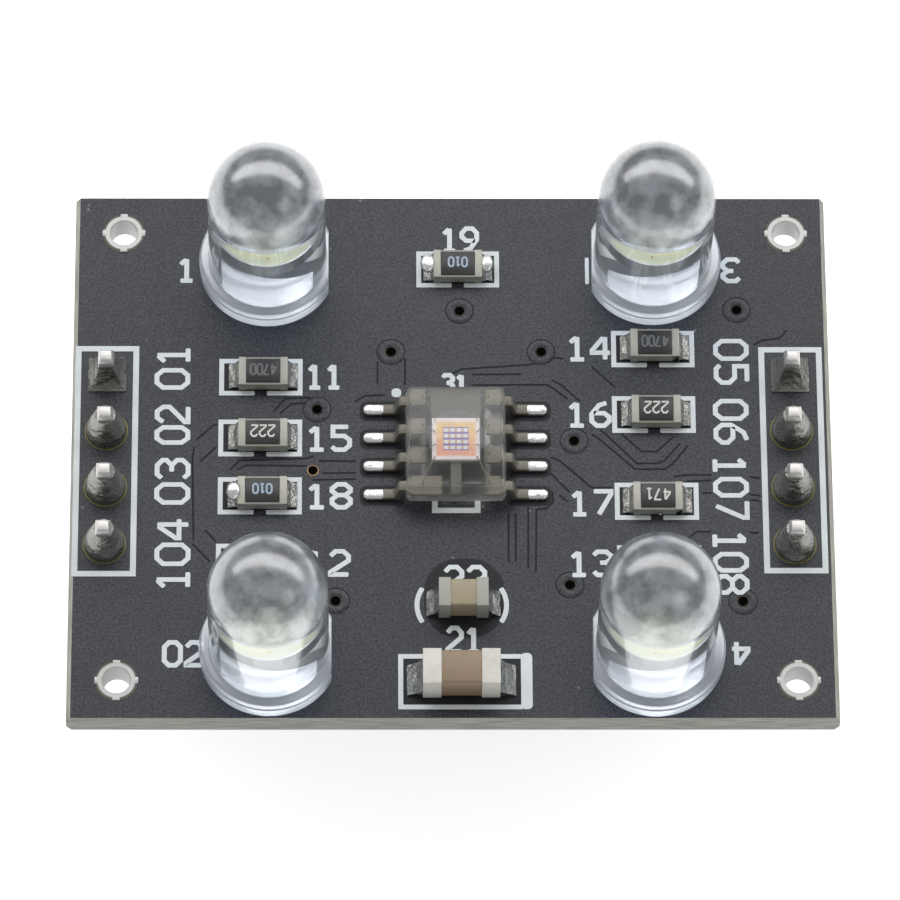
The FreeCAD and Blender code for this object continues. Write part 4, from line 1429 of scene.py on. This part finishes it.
@dataclass
class Lamps:
    """The four clear lamps. Lengths are in millimetres."""

    lens_radius: float = 2.4
    height: float = 8.3
    flange_radius: float = 2.82
    flange_height: float = 1.0
    edge: float = 0.12
    step: float = 0.05
    fillet: float = 0.08
    lip: Point = (0.62, 0.66)
    flat: float = 2.5
    gap: float = 0.002
    steps: int = 128
    shade_limit: float = 32.0

    def lens(self) -> Obj:
        """One lens at the origin, with its flat towards minus X."""
        r, f, e, h = self.lens_radius, self.flange_radius, self.edge, self.flange_height
        dome = self.height - r
        profile = [(0.0, 0.0), (f - e, 0.0)]
        profile += arc((f - e, e), e, -90, 0, 4)[1:]
        profile += [(f, h * self.lip[0]), (f - self.step, h * self.lip[1])]
        profile += arc((f - self.step - e, h - e), e, 0, 90, 4)
        foot = r + self.fillet
        profile += [(foot, h), *arc((foot, h + self.fillet), self.fillet, -90, -180, 4)[1:]]
        profile += [(r, h + (dome - h) * i / 4) for i in range(1, 4)]
        profile += arc((0.0, dome), r, 0, 90, 28)
        profile[-1] = (0.0, self.height)
        made = spun("lens", profile, self.steps)
        with editing(made):
            bpy.ops.mesh.bisect(
                plane_co=(-self.flat * MM, 0, 0), plane_no=(-1, 0, 0), use_fill=True, clear_outer=True,
                threshold=0.0001 * MM,
            )
        return smooth(outward(made), self.shade_limit)

    def build(self) -> None:
        """Stand a lens over each lead frame and dress what is inside."""
        model = self.lens()
        for number in range(1, 5):
            low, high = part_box(f"lamp_lens_{number}")
            is_left = number in (1, 3)
            centre_x = (low.x + self.flange_radius * MM) if is_left else (high.x - self.flange_radius * MM)
            place = Vector((centre_x, (low.y + high.y) / 2, TOP + self.gap * MM))
            lens = moved(copy_of(model, f"lamp_{number}_clear_lens"), place, 180.0 if is_left else 0.0)
            add_piece(lens, LENS, "lens", f"lamp_lens_{number}")
            dress_node(f"lamp_cathode_{number}", LEAD)
            dress_node(f"lamp_anode_{number}", LEAD)
            dress_node(f"lamp_phosphor_{number}", PHOSPHOR)
        bpy.data.objects.remove(model)
        dress_node("lamp_chips", CRYSTAL)
        dress_node("lamp_bond_wires", GOLD)
        dress_node("lamp_solder", SOLDER)


@dataclass
class SensorPackage:
    """The clear package with its leads and chip. Lengths are in millimetres."""

    corner: float = 0.09
    draft: float = 0.1
    draft_limit: float = 40.0
    toe_cover: float = 0.12
    toe_width: float = 0.46
    toe_rise: float = 0.02
    toe_corner: float = 0.2
    toe_edge: float = 0.12
    toe_side: float = 1.5
    lead_edge: float = 0.03
    grid_half: float = 0.52
    window_radius: float = 1.17
    window_height: float = 0.02
    window_rim: float = 0.02
    window_sunk: float = 0.005
    window_steps: int = 64
    shade_limit: float = 30.0
    steep: float = 0.8

    def body(self) -> Obj:
        """The moulded body, which narrows from its parting line to its top and bottom."""
        low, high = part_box("sensor_body")
        body = block("sensor_clear_body", low, high)
        with editing(body):
            bpy.ops.mesh.subdivide(number_cuts=1)
            for level in (low.z, high.z):
                select_where(body, lambda co, z=level: abs(co.z - z) < AT_FACE)
                narrow = 1 - 2 * self.draft * MM / (high.x - low.x)
                bpy.ops.transform.resize(value=(narrow, narrow, 1), center_override=(low + high) / 2)
            bpy.ops.mesh.select_all(action="SELECT")
            bpy.ops.mesh.dissolve_limited(angle_limit=math.radians(SAME_PLANE))
        return smooth(bevelled(body, self.corner * MM, 3, self.draft_limit), self.shade_limit)

    def window(self) -> Obj:
        """The low round mark that the mould leaves on the body's top."""
        low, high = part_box("sensor_body")
        r, h = self.window_radius, self.window_height
        profile = [(r, -self.window_sunk), (r, h * 0.4), (r - self.window_rim, h), (0.0, h)]
        made = spun("sensor_round_mark", profile, self.window_steps)
        return smooth(moved(made, Vector(((low.x + high.x) / 2, (low.y + high.y) / 2, high.z))), CRISP)

    def build(self) -> None:
        """Round the leads, close the package over the frame and dress the chip."""
        body = self.body()
        add_piece(body, SMOKE, "sensor_epoxy", "sensor_body")
        body.data.materials.append(SMOKE_SIDE.material())
        for face in body.data.polygons:
            face.material_index = int(abs(face.normal.z) < self.steep)
        add_piece(self.window(), WINDOW, "sensor_epoxy")
        for number in range(1, 9):
            add_rounded(f"sensor_lead_{number}", self.lead_edge, FRAME, "lead_frame")
        dress_node("sensor_paddle", PADDLE)
        dress_node("sensor_bond_wires", FINE_WIRE)
        low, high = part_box("sensor_die")
        centre = (low + high) / 2
        die = SensorChip(
            "sensor_silicon", (1.0, 0.9, 0.92), 0.3, centre=(centre.x, centre.y),
            half=((high.x - low.x) / 2, (high.y - low.y) / 2), grid_half=self.grid_half * MM,
        )
        dress_node("sensor_die", die)
        self.toes()

    def toes(self) -> None:
        """A rounded lump of solder over the toe of each lead."""
        low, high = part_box("sensor_solder")
        made = []
        for number in range(1, 9):
            lead_low, lead_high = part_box(f"sensor_lead_{number}")
            y = (lead_low.y + lead_high.y) / 2
            is_left = lead_low.x < low.x + self.toe_side * MM
            cover, half = self.toe_cover * MM, self.toe_width / 2 * MM
            outer, inner = (low.x, lead_low.x + cover) if is_left else (high.x, lead_high.x - cover)
            left, right = sorted((outer, inner))
            top = high.z + self.toe_rise * MM
            lump = block("lump", Vector((left, y - half, TOP)), Vector((right, y + half, top)))
            round_upright(lump, self.toe_corner * MM, lambda co, x=outer: abs(co.x - x) < AT_FACE, 5)
            bevelled(lump, self.toe_edge * MM, 4, CORNER_EDGE)
            made.append(lump)
        add_piece(smooth(joined("sensor_toe_solder", made), LUMPY), SOLDER, "solder", "sensor_solder")


@dataclass
class Chips:
    """The chip resistors and capacitors. Lengths are in millimetres."""

    codes: tuple[str, ...] = ("4700", "222", "010", "4700", "4700", "222", "471", "4700", "010")
    code_line: float = 0.075
    glaze_thickness: float = 0.06
    blobs: tuple[tuple[float, float, float, float, float], ...] = (
        (-8.85, -1.93, 0.3, 0.42, 0.58), (-0.95, 8.4, 0.3, 0.42, 0.58), (1.5, 8.4, 0.26, 0.4, 0.57),
    )
    balls: Points = ((-7.63, -2.45), (8.43, -2.72))
    ball_radius: float = 0.09
    ball_steps: int = 20
    drop_steps: int = 24
    drop: Points = ((1.0, 0.0), (0.97, 0.35), (0.85, 0.65), (0.6, 0.88), (0.3, 0.98), (0.0, 1.0))
    drop_height: float = 0.2
    drop_sunk: float = 0.04
    body_edge: float = 0.02
    solder_edge: float = 0.05
    end_edge: float = 0.04
    capacitor_edge: float = 0.1
    code_height: float = 0.006
    code_shift: float = 0.04

    def code_style(self, code: str) -> tuple[Finish, float, float]:
        """A code's ink, height and length."""
        if code == "010":
            return BLUE_INK, 0.49, 0.83
        if code == "4700":
            return FAINT_INK, 0.55, 1.1
        return CODE_INK, 0.57, 1.03

    def drops(self) -> None:
        """Lumps of spare solder on some ends and two small balls beside the chips."""
        made = []
        for x, y, rx, ry, height in self.blobs:
            drop = spun("drop", self.drop, self.drop_steps)
            drop.scale = (rx, ry, self.drop_height)
            drop.location = on_board(x, y, height - self.drop_sunk)
            made.append(settle(drop))
        r = self.ball_radius
        for x, y in self.balls:
            ball = spun("ball", arc((0.0, r), r, -90, 90, self.ball_steps // 2), self.ball_steps)
            made.append(moved(ball, on_board(x, y)))
        add_piece(smooth(joined("solder_drops", made), LUMPY), SOLDER, "solder")

    def build(self) -> None:
        """Round every chip, print the resistors and dress them all."""
        low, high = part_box("resistor_1")
        glaze = GlazedChip(
            "resistor_glaze", (0.02, 0.02, 0.021), 0.35, glaze_base=high.z - self.glaze_thickness * MM,
            ceramic=(0.29, 0.285, 0.25),
        )
        for number, code in enumerate(self.codes, 1):
            node = f"resistor_{number}"
            add_rounded(node, self.body_edge, glaze, "resistor_glaze")
            centre = middle(node) / MM
            ink, height, length = self.code_style(code)
            digits = Print(f"resistor_{number}_code", high.z, self.code_height)
            digits.number(code, (centre.x, centre.y + self.code_shift), height, length, self.code_line, 180.0)
            add_piece(digits.lay(), ink, "resistor_glaze")
        for node, finish in (("capacitor_1", LARGE_CERAMIC), ("capacitor_2", SMALL_CERAMIC)):
            add_rounded(node, self.capacitor_edge, finish, "capacitor_ceramic", 3)
        add_rounded("capacitor_caps", self.capacitor_edge, PALE_CAPS, "chip_ends", 3)
        add_rounded("resistor_caps", self.end_edge, CAPS, "chip_ends")
        add_rounded("chip_solder", self.solder_edge, CHIP_SOLDER, "solder")
        self.drops()


# ---- Studio ----


@dataclass
class Studio:
    """Floor, light and camera. The camera's place was worked out from the photograph."""

    lens_mm: float = 270.05
    sensor_mm: float = 36.0
    clip: Point = (0.01, 5.0)
    azimuth: float = -1.786
    elevation: float = 64.541
    roll: float = 1.634
    distance: float = 274.92 * MM
    target: Triple = (-0.071 * MM, 0.159 * MM, 0.0)
    floor_size: float = 3.0
    floor_colour: Colour = (0.93, 0.93, 0.93)
    floor_glow: float = 0.7
    surround: float = 0.4
    lights: tuple[tuple[str, Triple, Point, float, bool], ...] = (
        ("key_light", (-0.12, 0.11, 0.36), (0.12, 0.12), 5.6, False),
        ("back_strip", (0.02, 0.2, 0.26), (1.2, 0.17), 2.3, True),
        ("fill_light", (0.2, -0.16, 0.22), (0.14, 0.14), 0.9, True),
    )

    def camera(self) -> None:
        """Look at the middle of the board's top face."""
        az, el, roll = (math.radians(a) for a in (self.azimuth, self.elevation, self.roll))
        back = Vector((math.sin(az) * math.cos(el), -math.cos(az) * math.cos(el), math.sin(el)))
        right = Vector((math.cos(az), math.sin(az), 0.0))
        up = back.cross(right)
        turned_right = right * math.cos(roll) + up * math.sin(roll)
        turned_up = up * math.cos(roll) - right * math.sin(roll)
        rows = Matrix((turned_right, turned_up, back)).transposed().to_4x4()
        data = bpy.data.cameras.new("camera")
        data.lens = self.lens_mm
        data.sensor_width = self.sensor_mm
        data.clip_start, data.clip_end = self.clip
        camera = bpy.data.objects.new("camera", data)
        bpy.context.scene.collection.objects.link(camera)
        eye = Vector(self.target) + Vector((0, 0, TOP)) + back * self.distance
        camera.matrix_world = Matrix.Translation(eye) @ rows
        bpy.context.scene.camera = camera

    def floor(self) -> None:
        """A wide pale floor under the pins."""
        deselect()
        bpy.ops.mesh.primitive_plane_add(size=self.floor_size, location=(0, 0, 0))
        floor = named("floor")
        made = bpy.data.materials.new("floor_paper")
        made.use_nodes = True
        tree = Tree(made.node_tree)
        paper = tree.add("ShaderNodeBsdfPrincipled", {"Base Color": (*self.floor_colour, 1.0), "Roughness": 0.9})
        glow = tree.add("ShaderNodeEmission", {"Color": (1, 1, 1, 1), "Strength": self.floor_glow})
        both = tree.add("ShaderNodeAddShader", {0: paper.outputs[0], 1: glow.outputs[0]})
        path = tree.add("ShaderNodeLightPath")
        seen = tree.math("MAXIMUM", path.outputs["Is Camera Ray"], path.outputs["Is Glossy Ray"])
        seen = tree.math("MAXIMUM", seen, path.outputs["Is Transmission Ray"])
        shader = tree.add("ShaderNodeMixShader", {0: seen, 1: paper.outputs[0], 2: both.outputs[0]})
        tree.add("ShaderNodeOutputMaterial", {"Surface": shader.outputs[0]})
        floor.data.materials.append(made)

    def lamp(self, name: str, place: Vector, size: Point, radiance: float, mirrored: bool) -> None:
        """A soft light that faces the module.

        Args:
            name: The light's name.
            place: Where it hangs.
            size: Its width and height.
            radiance: How bright its face is, where 1 is white.
            mirrored: Whether shiny faces show it.
        """
        data = bpy.data.lights.new(name, "AREA")
        data.shape = "RECTANGLE"
        data.size, data.size_y = size
        data.energy = radiance * math.pi * size[0] * size[1]
        light = bpy.data.objects.new(name, data)
        bpy.context.scene.collection.objects.link(light)
        light.location = place
        light.rotation_mode = "QUATERNION"
        light.rotation_quaternion = (place - Vector((0, 0, TOP))).to_track_quat("Z", "Y")
        light.visible_glossy = mirrored

    def world(self) -> None:
        """An even white surround."""
        world = bpy.data.worlds.new("surround")
        world.use_nodes = True
        tree = Tree(world.node_tree)
        light = tree.add("ShaderNodeBackground", {"Color": (1, 1, 1, 1), "Strength": self.surround})
        tree.add("ShaderNodeOutputWorld", {"Surface": light.outputs[0]})
        bpy.context.scene.world = world

    def build(self) -> None:
        """Set up the whole studio."""
        self.floor()
        self.world()
        for name, place, size, radiance, mirrored in self.lights:
            self.lamp(name, Vector(place), size, radiance, mirrored)
        self.camera()
        bpy.context.scene.view_settings.view_transform = "Standard"


def main() -> None:
    """Build every sub-assembly in order and set up the studio."""
    logging.basicConfig(level=logging.INFO, format="%(name)s: %(message)s")
    grain_group()
    specks_group()
    Board().build()
    Silkscreen().build()
    Headers().build()
    Lamps().build()
    SensorPackage().build()
    Chips().build()
    Studio().build()


if __name__ == "__main__":
    main()
